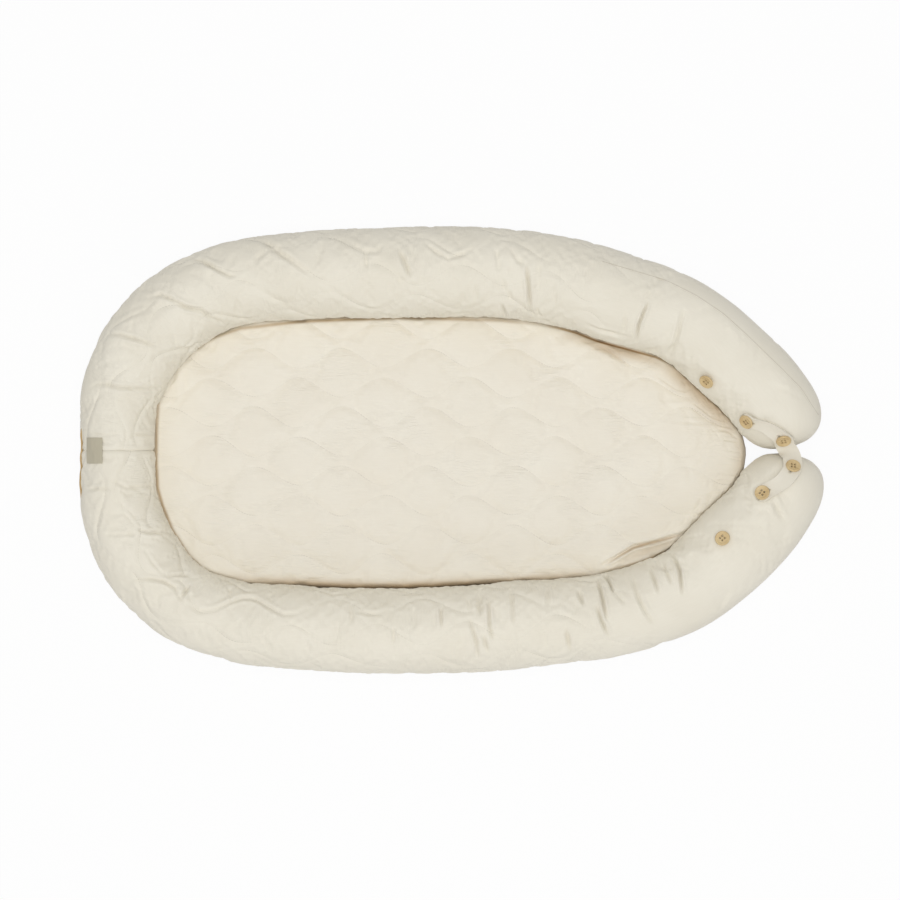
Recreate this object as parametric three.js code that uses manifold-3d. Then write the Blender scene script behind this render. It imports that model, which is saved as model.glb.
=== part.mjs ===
// Infant lounger: a quilted nest with a round bolster, a loose mattress, two arms that meet at the foot,
// and a cloth strap that buttons them together. Millimetres, +Z up, head end towards -X, left side towards +Y.
import * as THREE from 'three';
import { mergeVertices } from 'three/addons/utils/BufferGeometryUtils.js';
import Module from 'manifold-3d';

const wasm = await Module();
wasm.setup();

// The lounger as it lies
const lounger_length = 900;
const lounger_width = 545;
const tube_width = 108;
const tube_height = 106;
const tube_floor_cut = 5;
const head_width_share = 0.86;
const head_straight_length = 100;
const arm_dome_length = 46;
const arm_dome_power = 2.3;

// The bolster's middle line on each side, from the head's corner to the arm's end. Each row holds
// a share of the head's reach, a share of the side's reach and a share of the tube's width.
const left_line_shares = [
  [-1, 0.229, 0.87],
  [-0.931, 0.581, 0.93],
  [-0.814, 0.796, 0.95],
  [-0.658, 0.929, 0.94],
  [-0.446, 0.977, 0.98],
  [-0.149, 0.995, 1.01],
  [0.149, 0.991, 1],
  [0.324, 0.95, 1],
  [0.495, 0.86, 1],
  [0.7, 0.723, 0.94],
  [0.854, 0.499, 0.95],
  [0.953, 0.311, 0.94],
  [0.998, 0.183, 0.93],
  [1.022, 0.018, 0.92],
];
const right_line_shares = [
  [-1, 0.229, 0.87],
  [-0.936, 0.6, 0.91],
  [-0.817, 0.833, 0.88],
  [-0.649, 0.952, 0.9],
  [-0.446, 0.986, 0.95],
  [-0.149, 1.002, 0.97],
  [0.149, 0.979, 0.99],
  [0.324, 0.952, 0.95],
  [0.5, 0.911, 0.94],
  [0.708, 0.769, 0.93],
  [0.872, 0.51, 0.98],
  [0.965, 0.32, 0.95],
  [1.005, 0.19, 0.93],
  [1.022, 0.018, 0.92],
];
const arm_root_share = 0.655;

// Cloth, wadding and filling
const cover_thickness = 8;
const filling_clearance = 0.8;
const seam_gap = 0.4;
const piece_gap = 0.35;

// Quilting: rows of opposed waves, pressed into the cover by the sewing
const quilt_row_spacing = 36.3;
const quilt_wave_length = 106;
const quilt_wave_height = 12;
const quilt_depth = 2.6;
const quilt_wave_offset = 81;
const quilt_row_offset = 4.3;
const head_channel_spacing = 60;
const head_quilt_end_share = 0.34;
const quilt_fade_length = 70;

// Base panel and mattress
const base_thickness = 3;
const base_seam_clearance = 0.6;
const base_foot_setback = 2;
const base_foot_blend_length = 50;
const mattress_clearance = 1;
const mattress_length = 714;
const mattress_foot_radius = 149;
const mattress_foot_offset = -6;
const mattress_thickness = 27;
const mattress_edge_height = 11;
const mattress_edge_roll = 15;
const mattress_panel_thickness = 1.5;
const mattress_wall = 7;
const core_thickness = 12;

// Buttons, their thread, and the strap
const button_radius = 9;
const button_thickness = 3.2;
const button_rim_width = 1.5;
const button_dish_depth = 0.9;
const button_hole_radius = 1.05;
const button_hole_pitch = 3.3;
const root_button_spacing = 77.5;
const tip_button_spacing = 47;
const left_tip_button_setback = 13;
const right_tip_button_setback = 17;
const left_button_angles = [143, 142, 105];
const right_button_angles = [115, 117, 90];
const thread_radius = 0.65;
const thread_bar_height = 0.9;
const shank_radius = 2.3;
const strap_width = 23;
const strap_thickness = 2;
const strap_tab_length = 11.5;
const strap_level_reach = 10;
const strap_bend_reach = 9;
const buttonhole_length = 20;
const buttonhole_width = 6;
const strap_split_gap = 0.3;

// Label and zip at the head
const label_length = 31;
const label_width = 28;
const label_thickness = 0.8;
const label_angle = 60.5;
const zip_length = 78;
const zip_tape_width = 16;
const zip_tape_thickness = 1;
const zip_coil_width = 4;
const zip_coil_height = 1.4;
const slider_length = 9;
const slider_width = 7;
const slider_wall = 1;
const slider_clearance = 0.35;
const pull_length = 16;
const pull_width = 5;
const pull_thickness = 1.2;
const pull_stem_length = 3;

// Fineness of the faceted surfaces
const ring_sides = 16;
const core_ring_sides = 8;
const stations_per_wave = 6;
const line_steps = 14;
const dome_steps = 6;
const round_sides = 24;
const hole_sides = 8;
const strand_sides = 6;
const strap_step = 5;

// Directions, in degrees from the line across the round foot, at which its faceted edge has corners
const mattress_bend_angle = 48;
const mattress_foot_angles = [58, 68, 77, 86];
const base_foot_angles = [45, 56, 66, 76, 85];

// Where the strap's rounded end and its buttonholes have corners, as shares of their half lengths
const tab_corner_shares = [0.04, 0.15, 0.35, 0.65];
const tab_end_share = 0.12;
const hole_corner_shares = [-1, -0.7, -0.35, 0, 0.35, 0.7, 1];

const quarter_turn = Math.PI / 2;
const full_turn = Math.PI * 2;
const ring_step = full_turn / ring_sides;

const colours = {
  quilted_cotton: 0xe6e0d0,
  plain_cotton: 0xdfd9cb,
  filling: 0xf4f2ec,
  foam: 0xf0ead8,
  wood: 0xc9a878,
  thread: 0xb89a6a,
  label: 0xaea893,
  zip: 0xbba06f,
  metal: 0x9a9a98,
};

function radians(degrees) {
  return THREE.MathUtils.degToRad(degrees);
}

function smooth(share) {
  return THREE.MathUtils.smoothstep(share, 0, 1);
}

// A list of points and triangles that becomes one closed solid, with its faces turned outwards.
class Solid {
  constructor() {
    this.points = [];
    this.triangles = [];
  }

  point(position) {
    this.points.push(position.clone());
    return this.points.length - 1;
  }

  loop(positions) {
    return positions.map((position) => this.point(position));
  }

  face(...corners) {
    for (let i = 2; i < corners.length; i += 1) {
      this.triangles.push([corners[0], corners[i - 1], corners[i]]);
    }
  }

  // Joins two closed loops; one may be a single point, or have twice the other's points.
  bridge(from, to) {
    const steps = Math.max(1, Math.min(from.length, to.length));
    const a = (i) => from[i % from.length];
    const b = (i) => to[i % to.length];
    if (from.length === 1) {
      for (let i = 0; i < to.length; i += 1) this.face(from[0], b(i + 1), b(i));
    } else if (to.length === 1) {
      for (let i = 0; i < from.length; i += 1) this.face(a(i), a(i + 1), to[0]);
    } else if (from.length === to.length) {
      for (let i = 0; i < steps; i += 1) this.face(a(i), a(i + 1), b(i + 1), b(i));
    } else if (to.length === 2 * from.length) {
      for (let i = 0; i < steps; i += 1) {
        this.face(a(i), b(2 * i + 1), b(2 * i));
        this.face(a(i), a(i + 1), b(2 * i + 1));
        this.face(a(i + 1), b(2 * i + 2), b(2 * i + 1));
      }
    } else {
      for (let i = 0; i < steps; i += 1) {
        this.face(a(2 * i), a(2 * i + 1), b(i));
        this.face(a(2 * i + 1), b(i + 1), b(i));
        this.face(a(2 * i + 1), a(2 * i + 2), b(i + 1));
      }
    }
  }

  bridge_all(loops, closed) {
    const last = closed ? loops.length : loops.length - 1;
    for (let i = 0; i < last; i += 1) this.bridge(loops[i], loops[(i + 1) % loops.length]);
  }

  volume() {
    let total = 0;
    for (const [a, b, c] of this.triangles) {
      const side = new THREE.Vector3().crossVectors(this.points[b], this.points[c]);
      total += this.points[a].dot(side);
    }
    return total;
  }

  geometry() {
    const turned = this.volume() < 0;
    const index = this.triangles.flatMap(([a, b, c]) => (turned ? [a, c, b] : [a, b, c]));
    const shape = new THREE.BufferGeometry();
    shape.setFromPoints(this.points);
    shape.setIndex(index);
    return shape;
  }
}

// Manifold solids, for joins and cuts
function to_manifold(geometry) {
  const bare = geometry.clone();
  bare.deleteAttribute('normal');
  bare.deleteAttribute('uv');
  const merged = mergeVertices(bare);
  const vertProperties = new Float32Array(merged.attributes.position.array);
  const triVerts = new Uint32Array(merged.index.array);
  return new wasm.Manifold(new wasm.Mesh({ numProp: 3, vertProperties, triVerts }));
}

function from_manifold(solid) {
  const mesh = solid.getMesh();
  const shape = new THREE.BufferGeometry();
  shape.setAttribute('position', new THREE.BufferAttribute(mesh.vertProperties, 3));
  shape.setIndex(new THREE.BufferAttribute(mesh.triVerts, 1));
  return shape;
}

// Smooth line through points of x, y and width, with the direction given where it starts
function smooth_points(points, start_direction) {
  const gaps = [];
  for (let i = 1; i < points.length; i += 1) {
    gaps.push(Math.hypot(points[i].x - points[i - 1].x, points[i].y - points[i - 1].y));
  }
  const slopes = gaps.map((gap, i) => points[i + 1].clone().sub(points[i]).divideScalar(gap));
  const directions = points.map((point, i) => {
    if (i === 0) return start_direction.clone();
    if (i === gaps.length) return slopes[i - 1].clone();
    const before = slopes[i - 1].clone().multiplyScalar(gaps[i]);
    return before.addScaledVector(slopes[i], gaps[i - 1]).divideScalar(gaps[i] + gaps[i - 1]);
  });
  const found = [];
  gaps.forEach((gap, i) => {
    for (let step = 0; step < line_steps; step += 1) {
      const t = step / line_steps;
      const rest = 1 - t;
      const place = points[i].clone().multiplyScalar(rest * rest * (1 + 2 * t));
      place.addScaledVector(directions[i], gap * t * rest * rest);
      place.addScaledVector(points[i + 1], t * t * (1 + 2 * rest));
      place.addScaledVector(directions[i + 1], -gap * t * t * rest);
      found.push(place);
    }
  });
  found.push(points[points.length - 1].clone());
  return found;
}

// One half of the bolster, from the middle of the head to the end of one arm
class Side {
  constructor(name, line_shares, sign) {
    this.name = name;
    this.sign = sign;
    const head_reach = (lounger_length - tube_width * head_width_share) / 2;
    const side_reach = (lounger_width - tube_width) / 2;
    const points = line_shares.map(([along, across, width]) => new THREE.Vector3(
      along * head_reach,
      sign * across * side_reach,
      width * tube_width,
    ));
    const head_middle = new THREE.Vector3(-head_reach, 0, head_width_share * tube_width);
    points[0].y = sign * head_straight_length / 2;
    const bend = smooth_points(points, new THREE.Vector3(0, sign, 0));
    this.samples = [head_middle, ...bend];
    this.lengths = [0];
    for (let i = 1; i < this.samples.length; i += 1) {
      const step = Math.hypot(
        this.samples[i].x - this.samples[i - 1].x,
        this.samples[i].y - this.samples[i - 1].y,
      );
      this.lengths.push(this.lengths[i - 1] + step);
    }
    this.length = this.lengths[this.lengths.length - 1];
    this.arm_start = this.length_at_x(arm_root_share * head_reach);
  }

  length_at_x(x) {
    const i = this.samples.findIndex((sample) => sample.x > x);
    const share = (x - this.samples[i - 1].x) / (this.samples[i].x - this.samples[i - 1].x);
    return THREE.MathUtils.lerp(this.lengths[i - 1], this.lengths[i], share);
  }

  // Middle of the tube at a length along the line, with its direction and its outward side
  at(length) {
    const last = this.samples.length - 2;
    const found = this.lengths.findIndex((value) => value > length) - 1;
    const i = found < 0 ? last : Math.min(found, last);
    const share = (length - this.lengths[i]) / (this.lengths[i + 1] - this.lengths[i]);
    const place = this.samples[i].clone().lerp(this.samples[i + 1], share);
    const slope = (k) => {
      const from = this.samples[Math.max(k, 0)];
      const to = this.samples[Math.min(k + 1, last + 1)];
      return new THREE.Vector2(to.x - from.x, to.y - from.y).normalize();
    };
    const nearer = share < 0.5 ? slope(Math.max(i - 1, 0)) : slope(Math.min(i + 1, last));
    const ahead = slope(i).lerp(nearer, Math.abs(share - 0.5)).normalize();
    const outward = new THREE.Vector2(-ahead.y, ahead.x).multiplyScalar(this.sign);
    const width = place.z;
    const height = tube_height * (1 + width / tube_width) / 2;
    return { x: place.x, y: place.y, ahead, outward, width, height };
  }

  // A point of the tube's surface. The angle is 0 outwards, a quarter turn at the top.
  surface(length, angle, inset = 0) {
    const dome_start = this.length - arm_dome_length;
    const into_dome = Math.max(0, length - dome_start) / (arm_dome_length - inset);
    const close = Math.max(0, 1 - Math.min(1, into_dome) ** arm_dome_power);
    const taper = close ** (1 / arm_dome_power);
    const middle = this.at(length);
    const half_height = (middle.height + tube_floor_cut) / 2;
    const across = Math.max(0, middle.width / 2 * taper - inset * taper) * Math.cos(angle);
    const rise = Math.max(0, (half_height - inset) * taper) * Math.sin(angle);
    const z = Math.max(inset, half_height - tube_floor_cut + rise);
    return new THREE.Vector3(
      middle.x + middle.outward.x * across,
      middle.y + middle.outward.y * across,
      z,
    );
  }

  // Place and directions of a piece that lies on the surface
  seat(length, angle) {
    const small = ring_step / 4;
    const reach = strap_thickness;
    const inner = this.surface(length - reach, angle);
    const outer = this.surface(Math.min(length + reach, this.length), angle);
    const low = this.surface(length, angle - small);
    const high = this.surface(length, angle + small);
    const along = outer.sub(inner).normalize();
    const round = high.sub(low).normalize();
    const out = new THREE.Vector3().crossVectors(round, along).multiplyScalar(this.sign).normalize();
    const off_row = angle - Math.round(angle / ring_step) * ring_step;
    const sag = this.at(length).width / 2 * (1 - Math.cos(off_row));
    const place = this.surface(length, angle).addScaledVector(out, -sag);
    return { place, along, out };
  }
}

const left = new Side('left', left_line_shares, 1);
const right = new Side('right', right_line_shares, -1);

// How far the sewing presses one point of a ring in, and how far it moves the row round the tube
function quilting(side, length, row) {
  const top_share = Math.max(0, Math.sin(row * ring_step + ring_step / 2)) ** 0.5;
  const head_share = 1 - smooth((length / side.arm_start - head_quilt_end_share) * 3 + 0.5);
  const arm_share = smooth((side.arm_start - length) / quilt_fade_length);
  const middle = side.at(length);
  const phase = (middle.x + quilt_wave_offset) / quilt_wave_length * full_turn;
  const sewn_row = row % 2 === 1 && row < ring_sides / 2;
  const turn = (row - 1) % 4 === 0 ? 1 : -1;
  const reach = quilt_wave_height / (middle.height / 2);
  const wave = sewn_row ? turn * reach * Math.cos(phase) * arm_share * (1 - head_share) : 0;
  const row_depth = sewn_row ? quilt_depth * arm_share * (1 - head_share) : 0;
  const channel = Math.abs(Math.cos(length / head_channel_spacing * Math.PI));
  const head_row = row > 0 && row < ring_sides / 2;
  const head_depth = head_row ? quilt_depth * head_share * top_share * channel ** 3 : 0;
  return { shift: wave * top_share, depth: row_depth + head_depth };
}

function cover_ring(side, length, quilted) {
  const ring = [];
  for (let row = 0; row < ring_sides; row += 1) {
    const sewn = quilted ? quilting(side, length, row) : { shift: 0, depth: 0 };
    ring.push(side.surface(length, row * ring_step + sewn.shift, sewn.depth));
  }
  return ring;
}

function plain_ring(side, length, sides, inset) {
  const ring = [];
  for (let i = 0; i < sides; i += 1) ring.push(side.surface(length, i / sides * full_turn, inset));
  return ring;
}

function stations(start, end, spacing) {
  const count = Math.max(1, Math.round((end - start) / spacing));
  return Array.from({ length: count + 1 }, (unused, i) => start + (end - start) * i / count);
}

function dome_stations(side, inset) {
  const start = side.length - arm_dome_length;
  const reach = arm_dome_length - inset;
  const steps = Array.from({ length: dome_steps - 1 }, (unused, i) => (i + 1) / dome_steps);
  return steps.map((share) => start + reach * Math.sin(share * quarter_turn));
}

const station_spacing = quilt_wave_length / stations_per_wave;
const core_spacing = 2 * station_spacing;

// The quilted cover of one side, a sleeve that is open at the head seam and at the arm
function bolster_cover(side) {
  const solid = new Solid();
  const start = seam_gap / 2;
  const end = side.arm_start - seam_gap / 2;
  const outer = stations(start, end, station_spacing).map((length) => cover_ring(side, length, true));
  const inner = stations(start, end, core_spacing).map(
    (length) => plain_ring(side, length, core_ring_sides, cover_thickness),
  );
  solid.bridge_all([...outer, ...inner.reverse()].map((ring) => solid.loop(ring)), true);
  return solid.geometry();
}

// The cover of one arm, open where it joins the side and rounded at its end
function arm_cover(side) {
  const solid = new Solid();
  const start = side.arm_start + seam_gap / 2;
  const dome_start = side.length - arm_dome_length;
  const outer_lengths = [...stations(start, dome_start, station_spacing), ...dome_stations(side, 0)];
  const inner_lengths = [
    ...stations(start, dome_start, core_spacing),
    ...dome_stations(side, cover_thickness),
  ];
  const outer = outer_lengths.map((length) => cover_ring(side, length, false));
  const inner = inner_lengths.map(
    (length) => plain_ring(side, length, core_ring_sides, cover_thickness),
  );
  const tip = [side.surface(side.length, 0)];
  const inner_tip = [side.surface(side.length - cover_thickness, 0, cover_thickness)];
  const outside = [...outer, tip].map((ring) => solid.loop(ring));
  const inside = [inner_tip, ...inner.reverse()].map((ring) => solid.loop(ring));
  solid.bridge_all(outside, false);
  solid.bridge_all(inside, false);
  solid.bridge(inside[inside.length - 1], outside[0]);
  return solid.geometry();
}

function ring_middle(ring) {
  const sum = new THREE.Vector3();
  ring.forEach((point) => sum.add(point));
  return [sum.divideScalar(ring.length)];
}

function filled(rings, tip) {
  const solid = new Solid();
  const ends = tip || ring_middle(rings[rings.length - 1]);
  const loops = [ring_middle(rings[0]), ...rings, ends].map((ring) => solid.loop(ring));
  solid.bridge_all(loops.reverse(), false);
  return solid.geometry();
}

const filling_inset = cover_thickness + filling_clearance;

function bolster_filling() {
  const ring_of = (side) => (length) => plain_ring(side, length, core_ring_sides, filling_inset);
  const half = (side) => stations(seam_gap / 2, side.arm_start - seam_gap / 2, core_spacing);
  const left_rings = half(left).map(ring_of(left)).reverse();
  const right_rings = half(right).map(ring_of(right));
  return filled([...left_rings, ...right_rings]);
}

function arm_filling(side) {
  const start = side.arm_start + seam_gap / 2;
  const dome_start = side.length - arm_dome_length;
  const lengths = [
    ...stations(start, dome_start, core_spacing),
    ...dome_stations(side, cover_thickness),
  ];
  const rings = lengths.map((length) => plain_ring(side, length, core_ring_sides, filling_inset));
  return filled(rings, [side.surface(side.length - filling_inset, 0, filling_inset)]);
}

// Inner edge of the bolster seen from above, moved towards the middle of the lounger
function inner_edge(side, reach_of) {
  const points = side.lengths.map((length) => {
    const middle = side.at(length);
    const reach = reach_of(middle);
    return new THREE.Vector2(
      middle.x - middle.outward.x * reach,
      middle.y - middle.outward.y * reach,
    );
  });
  return (x) => {
    const i = points.findIndex((point) => point.x > x);
    if (i < 0) return points[points.length - 1].y;
    if (i === 0) return points[0].y;
    const share = (x - points[i - 1].x) / (points[i].x - points[i - 1].x);
    return THREE.MathUtils.lerp(points[i - 1].y, points[i].y, share);
  };
}

const mattress_head = left.samples[0].x + left.samples[0].z / 2 + mattress_clearance;
const mattress_tip = mattress_head + mattress_length;
const foot_centre_x = mattress_tip - mattress_foot_radius;

// The inner edges of the right and the left side, moved in by an inset at right angles to the bolster
const known_edges = new Map();
function inner_edges(inset) {
  if (!known_edges.has(inset)) {
    const reach_of = (middle) => middle.width / 2 + mattress_clearance + inset;
    known_edges.set(inset, [inner_edge(right, reach_of), inner_edge(left, reach_of)]);
  }
  return known_edges.get(inset);
}

function foot_half_width(x, radius) {
  const past = Math.max(0, x - foot_centre_x);
  return Math.sqrt(Math.max(0, radius * radius - past * past));
}

// The two long edges of the mattress at one place along it, moved in by an inset
function mattress_edges(x, inset = 0) {
  const radius = mattress_foot_radius - inset;
  const half = x > foot_centre_x ? foot_half_width(x, radius) : lounger_width;
  const [right_inner, left_inner] = inner_edges(inset);
  return [
    Math.max(right_inner(x), mattress_foot_offset - half),
    Math.min(left_inner(x), mattress_foot_offset + half),
  ];
}

// Places along the mattress where its surface is shaped; they draw together at the round foot.
function mattress_columns(inset) {
  const start = mattress_head + inset;
  const radius = mattress_foot_radius - inset;
  const bend_start = foot_centre_x + radius * Math.sin(radians(mattress_bend_angle));
  const straight = stations(start + mattress_edge_roll, bend_start, station_spacing);
  const bend = mattress_foot_angles.map((angle) => foot_centre_x + radius * Math.sin(radians(angle)));
  return [start, start + mattress_edge_roll / 3, ...straight, ...bend];
}

// A slab whose columns run across the lounger: flat below, and shaped above by points in each column
function slab(columns, bottom) {
  const solid = new Solid();
  const tops = columns.map((column) => solid.loop(column));
  const floor_of = (point) => new THREE.Vector3(point.x, point.y, bottom);
  const floors = columns.map((column) => solid.loop([floor_of(column[0]), floor_of(column.at(-1))]));
  for (let i = 1; i < columns.length; i += 1) {
    const [near, far] = [tops[i - 1], tops[i]];
    let [a, b] = [0, 0];
    while (a < near.length - 1 || b < far.length - 1) {
      const near_next = a < near.length - 1 ? columns[i - 1][a + 1].y : Infinity;
      const far_next = b < far.length - 1 ? columns[i][b + 1].y : Infinity;
      if (near_next <= far_next) {
        solid.face(near[a], far[b], near[a + 1]);
        a += 1;
      } else {
        solid.face(near[a], far[b], far[b + 1]);
        b += 1;
      }
    }
    const [right_near, left_near] = floors[i - 1];
    const [right_far, left_far] = floors[i];
    solid.face(right_near, left_near, left_far, right_far);
    solid.face(right_near, right_far, far[0], near[0]);
    solid.face(left_far, left_near, near.at(-1), far.at(-1));
  }
  const [head_top, foot_top] = [tops[0], tops.at(-1)];
  const [head_floor, foot_floor] = [floors[0], floors.at(-1)];
  solid.face(head_floor[0], head_top[0], head_top.at(-1), head_floor[1]);
  solid.face(foot_floor[0], foot_floor[1], foot_top.at(-1), foot_top[0]);
  return solid.geometry();
}

function flat_slab(column_places, edges_of, bottom, top) {
  const columns = column_places.map((x) => edges_of(x).map((y) => new THREE.Vector3(x, y, top)));
  return slab(columns, bottom);
}

const mattress_bottom = base_thickness + piece_gap;
const mattress_seam = mattress_bottom + mattress_panel_thickness + piece_gap;
const mattress_top = mattress_bottom + mattress_thickness;
const core_bottom = mattress_seam;
const core_top = core_bottom + core_thickness;

// The quilted upper side of the mattress, with its rows of waves, over a recess for the foam
function mattress_top_panel() {
  const places = mattress_columns(0);
  const rows = Math.ceil(lounger_width / quilt_row_spacing / 2);
  const columns = places.map((x, i) => {
    const [low, high] = mattress_edges(x);
    const edge = mattress_bottom + mattress_edge_height;
    const ends = [new THREE.Vector3(x, low, edge), new THREE.Vector3(x, high, edge)];
    if (i === 0 || i === places.length - 1) return ends;
    const height_at = (y, depth) => {
      const past = Math.max(0, x - foot_centre_x);
      const to_foot = mattress_foot_radius - Math.hypot(past, past ? y - mattress_foot_offset : 0);
      const distance = Math.min(high - y, y - low, x - places[0], to_foot) / mattress_edge_roll;
      const rise = Math.sqrt(1 - (1 - Math.min(1, Math.max(0, distance))) ** 2);
      return edge + (mattress_top - edge) * rise - depth * Math.min(1, Math.max(0, distance));
    };
    const rim = Math.min(mattress_edge_roll, (high - low) / 4);
    const inside = [low + rim, high - rim];
    const phase = (x + quilt_wave_offset) / quilt_wave_length * full_turn;
    for (let row = -rows; row <= rows; row += 1) {
      const middle = quilt_row_offset + row * quilt_row_spacing;
      const turn = row % 2 === 0 ? 1 : -1;
      const sewn = middle + turn * quilt_wave_height * Math.cos(phase);
      const crest = middle + quilt_row_spacing / 2;
      for (const y of [sewn, crest]) {
        const margin = quilt_depth;
        if (y > inside[0] + margin && y < inside[1] - margin) inside.push(y);
      }
    }
    const depth_of = (y) => {
      const row = Math.round((y - quilt_row_offset) / quilt_row_spacing);
      const crest = Math.abs(Math.abs(y - quilt_row_offset - row * quilt_row_spacing)
        - quilt_row_spacing / 2);
      return crest < quilt_depth ? 0 : quilt_depth;
    };
    const shaped = inside.sort((a, b) => a - b).map(
      (y, k) => new THREE.Vector3(x, y, height_at(y, k === 0 || k === inside.length - 1 ? 0 : depth_of(y))),
    );
    return [ends[0], ...shaped, ends[1]];
  });
  const body = to_manifold(slab(columns, mattress_seam));
  const edges = (x) => mattress_edges(x, mattress_wall);
  const recess_top = core_top + piece_gap;
  const recess_floor = mattress_seam - mattress_panel_thickness;
  const recess = flat_slab(mattress_columns(mattress_wall), edges, recess_floor, recess_top);
  return from_manifold(body.subtract(to_manifold(recess)));
}

function mattress_core() {
  const inset = mattress_wall + filling_clearance;
  const edges = (x) => mattress_edges(x, inset);
  return flat_slab(mattress_columns(inset), edges, core_bottom, core_top);
}

function mattress_bottom_panel() {
  const top = mattress_bottom + mattress_panel_thickness;
  return flat_slab(mattress_columns(0), (x) => mattress_edges(x), mattress_bottom, top);
}

// How far in from its middle line the tube's underside lies at the top of the base panel
function underside_reach(middle) {
  const half_height = (middle.height + tube_floor_cut) / 2;
  let low = { across: 0, z: 0 };
  for (let row = 1; row < ring_sides / 4; row += 1) {
    const angle = row * ring_step;
    const across = middle.width / 2 * Math.sin(angle);
    const z = Math.max(0, half_height * (1 - Math.cos(angle)) - tube_floor_cut);
    if (z >= base_thickness) {
      const share = (base_thickness - low.z) / (z - low.z);
      return THREE.MathUtils.lerp(low.across, across, share) + base_seam_clearance;
    }
    low = { across, z };
  }
  return middle.width / 2 + base_seam_clearance;
}

const left_seam = inner_edge(left, underside_reach);
const right_seam = inner_edge(right, underside_reach);

// The cloth panel that joins the two sides below the mattress, with a round foot under the mattress's own
function base_panel() {
  const split_x = left.at(left.arm_start).x;
  const head_x = left.samples[0].x + underside_reach(left.at(0));
  const foot_x = mattress_tip - base_foot_setback;
  const edges_of = (x) => {
    const free = smooth((x - split_x + base_foot_blend_length) / base_foot_blend_length * 2);
    const [low, high] = mattress_edges(Math.max(x, mattress_head), base_foot_setback);
    return [
      THREE.MathUtils.lerp(right_seam(x), low, free),
      THREE.MathUtils.lerp(left_seam(x), high, free),
    ];
  };
  const bend_start = foot_centre_x + mattress_foot_radius / 2;
  const corner_end = mattress_head;
  const corner = stations(head_x, corner_end, station_spacing / 2);
  const middle = stations(corner_end, bend_start, station_spacing).slice(1);
  const bend = base_foot_angles.map(
    (angle) => foot_centre_x + (foot_x - foot_centre_x) * Math.sin(radians(angle)),
  );
  return flat_slab([...corner, ...middle, ...bend], edges_of, 0, base_thickness);
}

// Four-hole button with a raised rim, its underside at z = 0
function button_geometry() {
  const top = button_thickness;
  const dish = top - button_dish_depth;
  const profile = [
    [0, 0],
    [button_radius - button_rim_width, 0],
    [button_radius - button_rim_width / 4, top / 4],
    [button_radius, top / 2],
    [button_radius - button_rim_width / 4, top - button_rim_width / 4],
    [button_radius - button_rim_width / 2, top],
    [button_radius - button_rim_width, top - button_dish_depth / 4],
    [button_radius - 2 * button_rim_width, dish],
    [0, dish],
  ].map(([x, y]) => new THREE.Vector2(x, y));
  const turned = new THREE.LatheGeometry(profile, round_sides).rotateX(quarter_turn);
  let body = to_manifold(turned);
  for (const [x, y] of hole_places()) {
    const drill = new THREE.CylinderGeometry(
      button_hole_radius,
      button_hole_radius,
      button_thickness * 3,
      hole_sides,
    );
    body = body.subtract(to_manifold(drill.rotateX(quarter_turn).translate(x, y, 0)));
  }
  return from_manifold(body);
}

function hole_places() {
  const half = button_hole_pitch / 2;
  return [[-half, -half], [-half, half], [half, -half], [half, half]];
}

const button_lift = 2 * piece_gap + strap_thickness;

// The sewing thread of one button: a wound shank below, four strands through the holes, two bars on top
function thread_geometry() {
  const shank_top = button_lift - piece_gap;
  const shank_height = shank_top - piece_gap;
  const shank = new THREE.CylinderGeometry(shank_radius, shank_radius, shank_height, hole_sides);
  let body = to_manifold(shank.rotateX(quarter_turn).translate(0, 0, piece_gap + shank_height / 2));
  const bar_floor = button_lift + button_thickness - button_dish_depth + piece_gap;
  const strand_floor = shank_top - shank_height / 2;
  const strand_height = bar_floor + thread_bar_height / 2 - strand_floor;
  for (const [x, y] of hole_places()) {
    const strand = new THREE.CylinderGeometry(thread_radius, thread_radius, strand_height, strand_sides);
    strand.rotateX(quarter_turn).translate(x, y, strand_floor + strand_height / 2);
    body = body.add(to_manifold(strand));
  }
  for (const turn of [-1, 1]) {
    const bar_length = button_hole_pitch + 2 * thread_radius;
    const bar = new THREE.BoxGeometry(bar_length, 2 * thread_radius, thread_bar_height);
    bar.translate(0, turn * button_hole_pitch / 2, bar_floor + thread_bar_height / 2);
    body = body.add(to_manifold(bar));
  }
  return from_manifold(body);
}

// The three buttons of an arm, counted from its root to its tip
function button_places(side, setback, angles) {
  const tip = side.length - setback;
  const middle = tip - tip_button_spacing;
  return [middle - root_button_spacing, middle, tip].map(
    (length, i) => ({ length, angle: radians(angles[i]) }),
  );
}

const left_buttons = button_places(left, left_tip_button_setback, left_button_angles);
const right_buttons = button_places(right, right_tip_button_setback, right_button_angles);

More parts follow.
